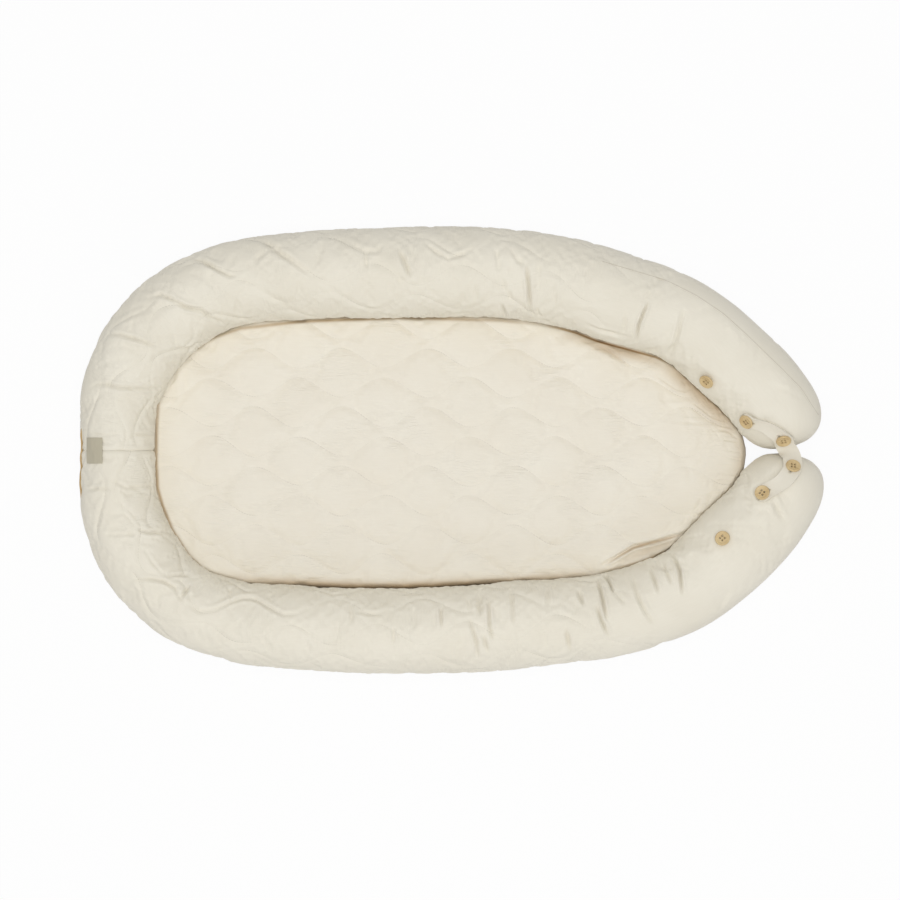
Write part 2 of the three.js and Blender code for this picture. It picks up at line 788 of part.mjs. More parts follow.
// Route of the strap's middle: along the left arm, over the gap, and back along the right arm
function strap_route() {
  const on_arm = (side, [, middle, tip]) => {
    const start = middle.length - strap_tab_length;
    const before = stations(start, middle.length, strap_step).slice(0, -1);
    const after = stations(middle.length, tip.length, strap_step);
    const angle_at = (length) => {
      const turn = (length - middle.length - strap_level_reach) / (tip_button_spacing - 2 * strap_level_reach);
      return THREE.MathUtils.lerp(middle.angle, tip.angle, smooth(turn));
    };
    const route = [...before, ...after].map((length) => side.seat(length, angle_at(length)));
    return { route, button: before.length };
  };
  const left_part = on_arm(left, left_buttons);
  const right_part = on_arm(right, right_buttons);
  const from = left_part.route.at(-1);
  const to = right_part.route.at(-1);
  const beyond = ({ place, along }, reach) => place.clone().addScaledVector(along, reach);
  const bend = new THREE.CubicBezierCurve3(
    beyond(from, button_radius),
    beyond(from, button_radius + strap_bend_reach),
    beyond(to, button_radius + strap_bend_reach),
    beyond(to, button_radius),
  );
  const count = Math.round(bend.getLength() / strap_step * 2);
  const crossing = [];
  for (let i = 0; i <= count; i += 1) {
    const share = i / count;
    const out = from.out.clone().lerp(to.out, smooth(share)).normalize();
    crossing.push({ place: bend.getPointAt(share), along: bend.getTangentAt(share), out });
  }
  const back = right_part.route.map(
    ({ place, along, out }) => ({ place, along: along.clone().negate(), out }),
  );
  const route = [...left_part.route, ...crossing, ...back.reverse()];
  const right_tip = left_part.route.length + crossing.length;
  const marks = [
    left_part.button,
    left_part.route.length - 1,
    right_tip,
    route.length - 1 - right_part.button,
  ];
  return { route, marks };
}

const strap = strap_route();

function strap_lengths() {
  const lengths = [0];
  for (let i = 1; i < strap.route.length; i += 1) {
    lengths.push(lengths[i - 1] + strap.route[i].place.distanceTo(strap.route[i - 1].place));
  }
  return lengths;
}

// Place on the strap: along it, across it, and above the cloth it lies on
function strap_point(station, across, above) {
  const { place, along, out } = station;
  const side = new THREE.Vector3().crossVectors(out, along).normalize();
  const up = new THREE.Vector3().crossVectors(along, side).normalize();
  return place.clone().addScaledVector(side, across).addScaledVector(up, piece_gap + above);
}

function strap_station(lengths, length) {
  const found = lengths.findIndex((value) => value >= length);
  const i = Math.max(1, found < 0 ? lengths.length - 1 : found);
  const share = (length - lengths[i - 1]) / (lengths[i] - lengths[i - 1]);
  const [from, to] = [strap.route[i - 1], strap.route[i]];
  return {
    place: from.place.clone().lerp(to.place, share),
    along: from.along.clone().lerp(to.along, share).normalize(),
    out: from.out.clone().lerp(to.out, share).normalize(),
  };
}

// One stretch of the strap, with a rounded tab at one end and a long buttonhole round each button
function strap_part(start, end, round_start, round_end, hole_middles) {
  const lengths = strap_lengths();
  const half_hole = buttonhole_length / 2;
  const places = new Set(stations(start, end, strap_step));
  for (const share of tab_corner_shares) {
    if (round_start) places.add(start + share * strap_width / 2);
    if (round_end) places.add(end - share * strap_width / 2);
  }
  for (const middle of hole_middles) {
    for (const place of [...places]) {
      if (Math.abs(place - middle) < half_hole + strap_step / 3) places.delete(place);
    }
    hole_corner_shares.forEach((share) => places.add(middle + share * half_hole));
  }
  const ordered = [...places].sort((a, b) => a - b);
  const solid = new Solid();
  const half_at = (length) => {
    const near = Math.min(
      round_start ? length - start : Infinity,
      round_end ? end - length : Infinity,
      strap_width / 2,
    );
    const left_over = 1 - near / (strap_width / 2);
    return strap_width / 2 * Math.max(tab_end_share, Math.sqrt(Math.max(0, 1 - left_over * left_over)));
  };
  const hole_at = (length) => {
    const middle = hole_middles.find((value) => Math.abs(length - value) < half_hole);
    if (middle === undefined) return 0;
    const share = (length - middle) / half_hole;
    return buttonhole_width / 2 * (1 - share * share);
  };
  const layers = ordered.map((length) => {
    const station = strap_station(lengths, length);
    const half = half_at(length);
    const hole = hole_at(length);
    const across = hole > 0 ? [-half, -hole, hole, half] : [-half, 0, 0, half];
    return [0, strap_thickness].map((above) => {
      const row = across.map((y) => solid.point(strap_point(station, y, above)));
      if (hole === 0) row[2] = row[1];
      return row;
    });
  });
  for (let i = 1; i < layers.length; i += 1) {
    const [[low_a, high_a], [low_b, high_b]] = [layers[i - 1], layers[i]];
    for (const [from, to] of [[0, 1], [2, 3]]) {
      solid.face(low_a[from], low_a[to], low_b[to], low_b[from]);
      solid.face(high_a[from], high_b[from], high_b[to], high_a[to]);
    }
    solid.face(low_a[0], low_b[0], high_b[0], high_a[0]);
    solid.face(low_a[3], high_a[3], high_b[3], low_b[3]);
    if (low_a[1] !== low_a[2] || low_b[1] !== low_b[2]) {
      solid.face(low_a[1], high_a[1], high_b[1], low_b[1]);
      solid.face(low_a[2], low_b[2], high_b[2], high_a[2]);
    }
  }
  const [first_low, first_high] = layers[0];
  const [last_low, last_high] = layers.at(-1);
  solid.face(first_low[0], first_high[0], first_high[1], first_high[3], first_low[3], first_low[1]);
  solid.face(last_low[0], last_low[1], last_low[3], last_high[3], last_high[1], last_high[0]);
  return solid.geometry();
}

// A sewn label that follows the cover over the seam in the middle of the head
function woven_label() {
  const solid = new Solid();
  const half_turn = label_width / tube_height;
  const label_row = Math.round(radians(label_angle) / ring_step) * ring_step;
  const rows = [radians(label_angle) - half_turn, label_row, radians(label_angle) + half_turn];
  const places = [
    [right, label_length / 2],
    [right, seam_gap / 2],
    [left, seam_gap / 2],
    [left, label_length / 2],
  ];
  const ring_place = (side, length) => {
    const first = cover_ring(side, seam_gap / 2, true);
    const reach = stations(seam_gap / 2, side.arm_start - seam_gap / 2, station_spacing)[1];
    const share = (length - seam_gap / 2) / (reach - seam_gap / 2);
    return cover_ring(side, reach, true).map((point, i) => first[i].clone().lerp(point, share));
  };
  const grid = places.map(([side, length]) => {
    const ring = ring_place(side, length);
    return rows.map((angle) => {
      const row = Math.floor(angle / ring_step);
      const point = ring[row].clone().lerp(ring[row + 1], angle / ring_step - row);
      const out = new THREE.Vector3(-Math.cos(angle), 0, Math.sin(angle));
      return [piece_gap, piece_gap + label_thickness].map(
        (lift) => solid.point(point.clone().addScaledVector(out, lift)),
      );
    });
  });
  const last_place = places.length - 1;
  const last_row = rows.length - 1;
  for (let i = 0; i < last_place; i += 1) {
    for (let k = 0; k < last_row; k += 1) {
      const [a, b, c, d] = [grid[i][k], grid[i + 1][k], grid[i + 1][k + 1], grid[i][k + 1]];
      solid.face(a[0], d[0], c[0], b[0]);
      solid.face(a[1], b[1], c[1], d[1]);
    }
    const [low_a, low_b] = [grid[i][0], grid[i + 1][0]];
    const [high_a, high_b] = [grid[i][last_row], grid[i + 1][last_row]];
    solid.face(low_a[0], low_b[0], low_b[1], low_a[1]);
    solid.face(high_a[0], high_a[1], high_b[1], high_b[0]);
  }
  for (let k = 0; k < last_row; k += 1) {
    const [near_a, near_b] = [grid[0][k], grid[0][k + 1]];
    const [far_a, far_b] = [grid[last_place][k], grid[last_place][k + 1]];
    solid.face(near_a[0], near_a[1], near_b[1], near_b[0]);
    solid.face(far_a[0], far_b[0], far_b[1], far_a[1]);
  }
  return solid.geometry();
}

// Frame of the flat strip outside the head where the zip is sewn: across it, out of it, and along it
const zip_low = left.surface(0, -ring_step);
const zip_high = left.surface(0, 0);
const zip_across = zip_high.clone().sub(zip_low).normalize();
const zip_along = new THREE.Vector3(0, 1, 0);
const zip_out = new THREE.Vector3().crossVectors(zip_along, zip_across).normalize();
if (zip_out.x > 0) {
  zip_out.negate();
  zip_across.negate();
}

function in_zip_frame(shape, length, middle_y) {
  const block = new THREE.ExtrudeGeometry(shape, { depth: length, bevelEnabled: false });
  block.translate(0, 0, -length / 2);
  const turn = new THREE.Matrix4().makeBasis(zip_across, zip_out, zip_along);
  const origin = zip_low.clone().lerp(zip_high, 0.5).setY(middle_y);
  block.applyMatrix4(turn.setPosition(origin));
  return block;
}

function outline(points) {
  return new THREE.Shape(points.map(([x, y]) => new THREE.Vector2(x, y)));
}

// Tape with the row of teeth raised along its middle
function zip_tape() {
  const half = zip_tape_width / 2;
  const coil = zip_coil_width / 2;
  const top = piece_gap + zip_tape_thickness;
  const crest = top + zip_coil_height;
  const shape = outline([
    [-half, piece_gap],
    [half, piece_gap],
    [half, top],
    [coil, top],
    [coil, crest],
    [-coil, crest],
    [-coil, top],
    [-half, top],
  ]);
  return in_zip_frame(shape, zip_length, 0);
}

// Slider over the teeth, with its pull lying flat along the tape
function zip_slider() {
  const half = slider_width / 2;
  const inside = zip_coil_width / 2 + slider_clearance;
  const floor = piece_gap + zip_tape_thickness + slider_clearance;
  const roof = piece_gap + zip_tape_thickness + zip_coil_height + slider_clearance;
  const top = roof + slider_wall;
  const rest_y = zip_length / 2 - slider_length / 2;
  const body = in_zip_frame(outline([
    [-half, floor],
    [-inside, floor],
    [-inside, roof],
    [inside, roof],
    [inside, floor],
    [half, floor],
    [half, top],
    [-half, top],
  ]), slider_length, rest_y);
  const box = (width, low, high) => outline([[-width, low], [width, low], [width, high], [-width, high]]);
  const stem_top = top + pull_thickness;
  const stem = in_zip_frame(box(pull_width / 4, roof + slider_wall / 2, stem_top), pull_stem_length, rest_y);
  const pull_y = rest_y - pull_length / 2 + pull_stem_length;
  const pull_floor = top + piece_gap;
  const pull = in_zip_frame(box(pull_width / 2, pull_floor, pull_floor + pull_thickness), pull_length, pull_y);
  return from_manifold(to_manifold(body).add(to_manifold(stem)).add(to_manifold(pull)));
}

const part = new THREE.Group();

function add(name, geometry, colour, roughness = 0.9, metalness = 0) {
  const material = new THREE.MeshStandardMaterial({ color: colour, roughness, metalness });
  const mesh = new THREE.Mesh(geometry, material);
  mesh.name = name;
  part.add(mesh);
  return mesh;
}

function set_on(mesh, seat, lift) {
  const across = new THREE.Vector3().crossVectors(seat.out, seat.along).normalize();
  const along = new THREE.Vector3().crossVectors(across, seat.out);
  const turn = new THREE.Matrix4().makeBasis(along, across, seat.out);
  mesh.quaternion.setFromRotationMatrix(turn);
  mesh.position.copy(seat.place).addScaledVector(seat.out, lift);
}

add('base_panel', base_panel(), colours.plain_cotton);
for (const side of [left, right]) {
  add(`${side.name}_bolster_cover`, bolster_cover(side), colours.quilted_cotton);
  add(`${side.name}_arm_cover`, arm_cover(side), colours.plain_cotton);
  add(`${side.name}_arm_filling`, arm_filling(side), colours.filling);
}
add('bolster_filling', bolster_filling(), colours.filling);
add('mattress_top_panel', mattress_top_panel(), colours.quilted_cotton);
add('mattress_core', mattress_core(), colours.foam);
add('mattress_bottom_panel', mattress_bottom_panel(), colours.plain_cotton);

for (const [side, buttons] of [[left, left_buttons], [right, right_buttons]]) {
  buttons.forEach(({ length, angle }, i) => {
    const button = add(`${side.name}_button_${i + 1}`, button_geometry(), colours.wood, 0.6);
    const thread = add(`${side.name}_button_thread_${i + 1}`, thread_geometry(), colours.thread);
    const seat = side.seat(length, angle);
    set_on(button, seat, button_lift);
    set_on(thread, seat, 0);
  });
}

const strap_places = strap_lengths();
const strap_holes = strap.marks.map((mark) => strap_places[mark]);
const strap_split = (strap_holes[1] + strap_holes[2]) / 2;
const fixed_half = strap_part(0, strap_split - strap_split_gap / 2, true, false, strap_holes.slice(0, 2));
const free_start = strap_split + strap_split_gap / 2;
const free_half = strap_part(free_start, strap_places.at(-1), false, true, strap_holes.slice(2));
add('strap_fixed_half', fixed_half, colours.plain_cotton);
add('strap_free_half', free_half, colours.plain_cotton);
add('woven_label', woven_label(), colours.label);
add('zip_tape', zip_tape(), colours.zip);
add('zip_slider', zip_slider(), colours.metal, 0.4, 1);

// The origin is the middle of the underside of the whole lounger.
const bounds = new THREE.Box3().setFromObject(part, true);
const middle = bounds.getCenter(new THREE.Vector3());
part.position.set(-middle.x, -middle.y, -bounds.min.z);
part.updateMatrixWorld(true);

export default part;
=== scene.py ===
"""Infant lounger: quilted bolster, loose mattress, two arms at the foot and a buttoned cloth strap.

Metres, +Z up, head end towards -X, left side towards +Y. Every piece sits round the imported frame.
"""

import logging
import math
from dataclasses import dataclass, field
from enum import Enum

import bmesh
import bpy
import numpy as np
from mathutils import Matrix, Vector, noise
from mathutils.bvhtree import BVHTree


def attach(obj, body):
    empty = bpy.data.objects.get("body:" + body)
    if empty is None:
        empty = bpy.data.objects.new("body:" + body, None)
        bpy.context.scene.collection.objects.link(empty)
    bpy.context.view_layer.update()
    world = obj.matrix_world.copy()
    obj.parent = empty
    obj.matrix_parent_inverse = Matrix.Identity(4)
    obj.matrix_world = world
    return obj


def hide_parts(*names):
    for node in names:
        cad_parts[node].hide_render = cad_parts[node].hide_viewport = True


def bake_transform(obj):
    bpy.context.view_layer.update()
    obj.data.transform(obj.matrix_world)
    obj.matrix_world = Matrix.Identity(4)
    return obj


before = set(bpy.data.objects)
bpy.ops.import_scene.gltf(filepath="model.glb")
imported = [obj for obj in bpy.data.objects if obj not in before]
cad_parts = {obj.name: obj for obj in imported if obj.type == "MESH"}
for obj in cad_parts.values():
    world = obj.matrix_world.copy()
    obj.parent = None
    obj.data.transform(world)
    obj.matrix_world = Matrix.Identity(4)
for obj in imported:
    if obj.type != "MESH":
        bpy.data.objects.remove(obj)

Socket = bpy.types.NodeSocket
Piece = bpy.types.Object
Triple = tuple[float, float, float]
Colour = tuple[int, int, int]
PixelLine = tuple[tuple[float, float], ...]

LOG = logging.getLogger("infant_lounger")
FAR = 1e9


class Side(Enum):
    """The two halves of the bolster, with the sign of their side along Y."""

    LEFT = 1
    RIGHT = -1

    @property
    def arm(self) -> str:
        """Name of the body that this half's arm rides on."""
        return f"{self.label}_arm"

    @property
    def label(self) -> str:
        """How this half is called in the names of pieces."""
        return self.name.lower()


# Colours and small helpers


def linear(red: int, green: int, blue: int) -> tuple[float, float, float, float]:
    """Turns a colour as seen on a screen into the renderer's linear one.

    Args:
        red: Red from 0 to 255.
        green: Green from 0 to 255.
        blue: Blue from 0 to 255.

    Returns:
        Linear red, green, blue and a full alpha.
    """
    channels = []
    for value in (red, green, blue):
        share = value / 255
        channels.append(share / 12.92 if share <= 0.04045 else ((share + 0.055) / 1.055) ** 2.4)
    return (*channels, 1.0)


def smooth(share: np.ndarray) -> np.ndarray:
    """Eases from 0 to 1 and stays level outside that stretch."""
    held = np.clip(share, 0, 1)
    return held * held * (3 - 2 * held)


def bell(distance: np.ndarray, width: float) -> np.ndarray:
    """A rounded bump, 1 where the distance is zero, that fades over the width."""
    return np.exp(-((distance / width) ** 2))


def bump_box(value: np.ndarray, half: float, edge: float) -> np.ndarray:
    """1 within a reach of zero, easing to 0 past it."""
    return 1 - smooth((np.abs(value) - half) / edge)


def noise_field(points: np.ndarray, scale: float, seed: float, stretch: Triple = (1, 1, 1)) -> np.ndarray:
    """Soft noise at each point.

    Args:
        points: A grid of places in space, or on the flat cloth.
        scale: Size of the largest lumps in metres.
        seed: Moves the pattern.
        stretch: How many times longer the lumps are along X, Y and Z.

    Returns:
        A value from about -1 to 1 for each point of the grid.
    """
    shape = points.shape[:-1]
    if points.shape[-1] == 2:
        points = np.concatenate([points, np.zeros((*shape, 1))], axis=-1)
    places = points.reshape(-1, 3) / (np.array(stretch) * scale) + seed
    return np.array([noise.noise(Vector(place)) for place in places]).reshape(shape)


def finish_mesh(name: str, bm: bmesh.types.BMesh) -> Piece:
    """Turns a bmesh into a smooth-shaded object at the origin.

    Args:
        name: Name of the piece.
        bm: The mesh, which is freed.

    Returns:
        The new object, linked to the scene.
    """
    mesh = bpy.data.meshes.new(name)
    bm.to_mesh(mesh)
    bm.free()
    mesh.shade_smooth()
    piece = bpy.data.objects.new(name, mesh)
    bpy.context.scene.collection.objects.link(piece)
    return piece


def finish_cloth(name: str, bm: bmesh.types.BMesh) -> Piece:
    """Makes a piece of a cloth grid's mesh, without the numbers that only the building needs.

    Args:
        name: Name of the piece.
        bm: The grid's mesh, which is freed.

    Returns:
        The new piece.
    """
    for label in ("row", "col"):
        bm.verts.layers.int.remove(bm.verts.layers.int[label])
    return finish_mesh(name, bm)


def apply_modifiers(piece: Piece) -> None:
    """Makes the result of the piece's modifiers its own mesh.

    Args:
        piece: The piece.
    """
    solved = piece.evaluated_get(bpy.context.evaluated_depsgraph_get())
    piece.data = bpy.data.meshes.new_from_object(solved)
    piece.modifiers.clear()


def thicken(piece: Piece, thickness: float, offset: float, edge_width: float, edge_steps: int) -> None:
    """Gives a single layer its thickness and rounds its cut edge.

    Args:
        piece: The layer.
        thickness: How thick it becomes.
        offset: 1 to thicken outwards, 0 to both sides.
        edge_width: Width of the rounded edge.
        edge_steps: Steps across the rounded edge.
    """
    wall = piece.modifiers.new("layers", "SOLIDIFY")
    wall.thickness = thickness
    wall.offset = offset
    wall.use_even_offset = False
    edge = piece.modifiers.new("turned_edge", "BEVEL")
    edge.width = edge_width
    edge.segments = edge_steps
    edge.limit_method = "ANGLE"
    edge.angle_limit = math.radians(50)
    apply_modifiers(piece)


def report(piece: Piece, body: str) -> None:
    """Says in the log which piece was made and what it rides on."""
    LOG.info("%s: %d faces, rides on %s", piece.name, len(piece.data.polygons), body)


def dress(piece: Piece, finish: str) -> None:
    """Gives the piece its finish."""
    piece.data.materials.clear()
    piece.data.materials.append(FINISHES[finish])


def declare(piece: Piece, finish: str, slot: str, body: str, *nodes: str) -> None:
    """Gives a piece its finish and its body, hides the solids that it replaces, if any, and reports it.

    Args:
        piece: The piece.
        finish: Name of its finish.
        slot: Not used.
        body: The body that it rides on.
        *nodes: The solids that it replaces, if any.
    """
    dress(piece, finish)
    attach(piece, body)
    if nodes:
        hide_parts(*nodes)
    report(piece, body)


# Shader groups and finishes


def feed(tree: bpy.types.NodeTree, node: bpy.types.Node, inputs: dict[str | int, object]) -> None:
    """Sets inputs of a node.

    Args:
        tree: The tree that the node is in.
        node: The node.
        inputs: A socket or a plain value for each input; None leaves it as it is.
    """
    for name, value in inputs.items():
        if isinstance(value, Socket):
            tree.links.new(value, node.inputs[name])
        elif value is not None:
            node.inputs[name].default_value = value


def add_node(tree: bpy.types.NodeTree, kind: str, inputs: dict[str | int, object],
             **settings: object) -> bpy.types.Node:
    """Adds a node to a tree.

    Args:
        tree: The tree.
        kind: Type of the node.
        inputs: A socket or a plain value for each input.
        **settings: The node's own settings.

    Returns:
        The new node.
    """
    node = tree.nodes.new(kind)
    for name, value in settings.items():
        setattr(node, name, value)
    feed(tree, node, inputs)
    return node


def add_maths(tree: bpy.types.NodeTree, operation: str, *values: object) -> Socket:
    """Adds a maths node that takes sockets or numbers and gives its result."""
    return add_node(tree, "ShaderNodeMath", dict(enumerate(values)), operation=operation).outputs[0]


def add_noise(tree: bpy.types.NodeTree, vector: Socket, scale: float, detail: float) -> Socket:
    """Adds soft noise and gives its value."""
    inputs = {"Vector": vector, "Scale": scale, "Detail": detail}
    return add_node(tree, "ShaderNodeTexNoise", inputs).outputs["Fac"]


class ShaderGroup:
    """A node group with named sockets, built once and placed in many materials."""

    def __init__(self, name: str, inputs: dict[str, float], outputs: tuple[str, ...]) -> None:
        """Starts the group.

        Args:
            name: Name of the group.
            inputs: Input names with their default numbers.
            outputs: Output names.
        """
        self.tree = bpy.data.node_groups.new(name, "ShaderNodeTree")
        sockets = self.tree.interface
        sockets.new_socket("Vector", in_out="INPUT", socket_type="NodeSocketVector")
        for label, value in inputs.items():
            socket = sockets.new_socket(label, in_out="INPUT", socket_type="NodeSocketFloat")
            socket.default_value = value
        for label in outputs:
            sockets.new_socket(label, in_out="OUTPUT", socket_type="NodeSocketFloat")
        self.inputs = self.tree.nodes.new("NodeGroupInput").outputs
        self.sink = self.tree.nodes.new("NodeGroupOutput")

    def math(self, operation: str, *values: object) -> Socket:
        """Adds a maths node that takes sockets or numbers and gives its result."""
        return add_maths(self.tree, operation, *values)

    def held(self, value: Socket) -> Socket:
        """Keeps a value between 0 and 1."""
        return self.math("MINIMUM", self.math("MAXIMUM", value, 0.0), 1.0)

    def noise(self, vector: Socket, scale: float, detail: float = 2.0) -> Socket:
        """Adds soft noise and gives its value."""
        return add_noise(self.tree, vector, scale, detail)

    def split(self, vector: Socket) -> tuple[Socket, ...]:
        """Gives the X, Y and Z of a vector."""
        return tuple(add_node(self.tree, "ShaderNodeSeparateXYZ", {0: vector}).outputs)

    def joined(self, x: Socket, y: Socket) -> Socket:
        """A vector from its X and Y."""
        return add_node(self.tree, "ShaderNodeCombineXYZ", {0: x, 1: y}).outputs[0]

    def stretch(self, vector: Socket, *axes: float) -> Socket:
        """Scales a vector along each axis."""
        inputs = {0: vector, 1: axes}
        return add_node(self.tree, "ShaderNodeVectorMath", inputs, operation="MULTIPLY").outputs[0]

    def scaled(self, vector: Socket, by: Socket) -> Socket:
        """Scales a vector evenly."""
        inputs = {0: vector, "Scale": by}
        return add_node(self.tree, "ShaderNodeVectorMath", inputs, operation="SCALE").outputs[0]

    def output(self, label: str, socket: Socket) -> None:
        """Joins a socket to one of the group's outputs."""
        self.tree.links.new(socket, self.sink.inputs[label])


def weave_group() -> bpy.types.NodeTree:
    """Plain weave: crossed threads with slubs, as a height and a mask of colour variation.

    Returns:
        The group.
    """
    group = ShaderGroup(
        "plain_weave",
        {"Threads per metre": 1500.0, "Slub": 0.4},
        ("Height", "Variation"),
    )
    vector = group.inputs["Vector"]
    count = group.inputs["Threads per metre"]
    x, y, _ = group.split(vector)
    warp_turn = group.math("MULTIPLY", group.math("MULTIPLY", x, count), math.pi)
    weft_turn = group.math("MULTIPLY", group.math("MULTIPLY", y, count), math.pi)
    warp = group.math("ABSOLUTE", group.math("SINE", warp_turn))
    weft = group.math("ABSOLUTE", group.math("SINE", weft_turn))
    over = group.math("MULTIPLY", group.math("SINE", warp_turn), group.math("SINE", weft_turn))
    threads = group.math("ADD", group.math("MULTIPLY", warp, weft), group.math("MULTIPLY", over, 0.35))
    slubs = group.noise(group.stretch(vector, 40.0, 900.0, 1.0), 1.0, 3.0)
    slub = group.math("MULTIPLY", slubs, group.inputs["Slub"])
    group.output("Height", group.math("ADD", threads, slub))
    patches = group.noise(vector, 14.0, 4.0)
    fibres = group.noise(group.stretch(vector, 60.0, 700.0, 1.0), 1.0, 2.0)
    group.output("Variation", group.math("ADD", group.math("MULTIPLY", patches, 0.7),
                                         group.math("MULTIPLY", fibres, 0.3)))
    return group.tree


def stitch_group() -> bpy.types.NodeTree:
    """Rows of opposed sewn waves: a mask of the thread, dashed into stitches, and a soft valley.

    Returns:
        The group.
    """
    group = ShaderGroup(
        "sewn_waves",
        {"Row spacing": QUILT.row_spacing, "Wave length": QUILT.wave_length,
         "Wave height": QUILT.wave_height, "Phase": QUILT.phase, "Start": 0.0, "Stitch": 0.0032,
         "Thread": 0.0006, "Lean": 1.0},
        ("Thread", "Valley"),
    )
    ins = group.inputs
    x, y, _ = group.split(ins["Vector"])
    row = group.math("DIVIDE", group.math("SUBTRACT", y, ins["Start"]), ins["Row spacing"])
    turn = group.math("DIVIDE", group.math("ADD", x, ins["Phase"]), ins["Wave length"])
    angle = group.math("MULTIPLY", turn, 2 * math.pi)
    wave = group.math("COSINE", angle)
    reach = group.math("MULTIPLY", wave, group.math("DIVIDE", ins["Wave height"], ins["Row spacing"]))
    even = group.math("PINGPONG", group.math("SUBTRACT", row, reach), 1.0)
    odd = group.math("PINGPONG", group.math("ADD", group.math("SUBTRACT", row, 1.0), reach), 1.0)
    nearest = group.math("MULTIPLY", group.math("MINIMUM", even, odd), ins["Row spacing"])
    line = group.math("SUBTRACT", 1.0, group.math("DIVIDE", nearest, ins["Thread"]))
    dash = group.math("PINGPONG", group.math("DIVIDE", x, ins["Stitch"]), 0.5)
    sewn = group.math("GREATER_THAN", dash, 0.14)
    held = group.math("MAXIMUM", line, 0.0)
    is_even = group.math("SUBTRACT", group.math("MULTIPLY", group.math("LESS_THAN", even, odd), 2.0), 1.0)
    slope = group.math("MULTIPLY", group.math("MULTIPLY", group.math("SINE", angle), is_even), ins["Lean"])
    lean = group.held(group.math("MULTIPLY_ADD", slope, 1.1, 0.55))
    fading = group.held(group.math("MULTIPLY_ADD", group.noise(ins["Vector"], 30.0), 6.0, -2.5))
    strength = group.math("MULTIPLY_ADD", group.math("MULTIPLY", lean, fading), 0.8, 0.2)
    group.output("Thread", group.math("MULTIPLY", group.math("MULTIPLY", held, sewn), strength))
    depth = group.math("MULTIPLY", group.math("DIVIDE", nearest, ins["Thread"]), -0.35)
    group.output("Valley", group.math("MULTIPLY", group.math("EXPONENT", depth), strength))
    return group.tree


def crease_group() -> bpy.types.NodeTree:
    """Fine wrinkles in patches, as a height.

    Returns:
        The group.
    """
    group = ShaderGroup(
        "patchy_creases",
        {"Along": 35.0, "Across": 250.0, "Patch": 17.0},
        ("Height",),
    )
    ins = group.inputs
    x, y, _ = group.split(ins["Vector"])
    spread = group.joined(group.math("MULTIPLY", x, ins["Along"]), group.math("MULTIPLY", y, ins["Across"]))
    folds = group.noise(spread, 1.0, 3.0)
    patches = group.noise(group.scaled(ins["Vector"], ins["Patch"]), 1.0)
    patch = group.held(group.math("MULTIPLY_ADD", patches, 7.0, -3.2))
    ridges = group.math("SUBTRACT", 1.0, group.math("ABSOLUTE", group.math("MULTIPLY_ADD", folds, 4.0, -2.0)))
    group.output("Height", group.math("MULTIPLY", group.math("MAXIMUM", ridges, 0.0), patch))
    return group.tree


class Surface:
    """A material under construction, with the coordinates that its pattern follows."""

    def __init__(self, name: str, from_uv: bool) -> None:
        """Starts a material.

        Args:
            name: Name of the material.
            from_uv: True where the pattern follows the piece's own map.
        """
        self.material = bpy.data.materials.new(name)
        self.material.use_nodes = True
        self.tree = self.material.node_tree
        if from_uv:
            self.vector = add_node(self.tree, "ShaderNodeUVMap", {}, uv_map="cloth").outputs["UV"]
        else:
            self.vector = add_node(self.tree, "ShaderNodeTexCoord", {}).outputs["Object"]

    def place(self, group: bpy.types.NodeTree, **numbers: float) -> bpy.types.Node:
        """Places a shared group and sets its numbers."""
        return add_node(self.tree, "ShaderNodeGroup", {"Vector": self.vector, **numbers}, node_tree=group)

    def noise(self, scale: float, detail: float, stretch: Triple) -> Socket:
        """Adds soft noise on the material's coordinates and gives its value."""
        spread = add_node(self.tree, "ShaderNodeMapping", {"Vector": self.vector, "Scale": stretch})
        return add_noise(self.tree, spread.outputs[0], scale, detail)

    def ramp(self, mask: Socket, low: Colour, high: Colour, start: float, end: float) -> Socket:
        """Turns a mask into a colour between two tones.

        Args:
            mask: The mask.
            low: Colour up to the start.
            high: Colour from the end on.
            start: Value of the mask where the change starts.
            end: Value of the mask where it ends.

        Returns:
            The colour.
        """
        node = add_node(self.tree, "ShaderNodeValToRGB", {"Fac": mask})
        first, last = node.color_ramp.elements
        first.color = linear(*low)
        first.position = start
        last.color = linear(*high)
        last.position = end
        return node.outputs["Color"]

    def mix(self, mask: Socket, low: Socket, high: object) -> Socket:
        """Mixes two colours by a mask; the second may be a plain colour."""
        inputs = {"Factor": mask, "A": low, "B": high}
        return add_node(self.tree, "ShaderNodeMix", inputs, data_type="RGBA").outputs["Result"]

    def masked(self, mask: Socket, attribute: str) -> Socket:
        """Weakens a mask where the piece's own attribute is low."""
        return add_maths(self.tree, "MULTIPLY", mask, self.attribute(attribute))

    def attribute(self, name: str) -> Socket:
        """The piece's own attribute as a mask."""
        return add_node(self.tree, "ShaderNodeAttribute", {}, attribute_name=name).outputs["Fac"]

    def over_one(self, mask: Socket) -> Socket:
        """The part of a mask that is above 1."""
        return add_maths(self.tree, "SUBTRACT", mask, 1.0)

    def bump(self, height: Socket, distance: float, strength: float, before: Socket | None = None) -> Socket:
        """Adds a bump, over an earlier one where it is given."""
        inputs = {"Height": height, "Distance": distance, "Strength": strength, "Normal": before}
        return add_node(self.tree, "ShaderNodeBump", inputs).outputs["Normal"]

    def finish(self, **inputs: object) -> bpy.types.Material:
        """Feeds the shader, whose input names are written with underscores, and gives the material.

        Args:
            **inputs: A socket or a plain value for each input.

        Returns:
            The material.
        """
        named = {name.replace("_", " "): value for name, value in inputs.items()}
        feed(self.tree, self.tree.nodes["Principled BSDF"], named)
        return self.material


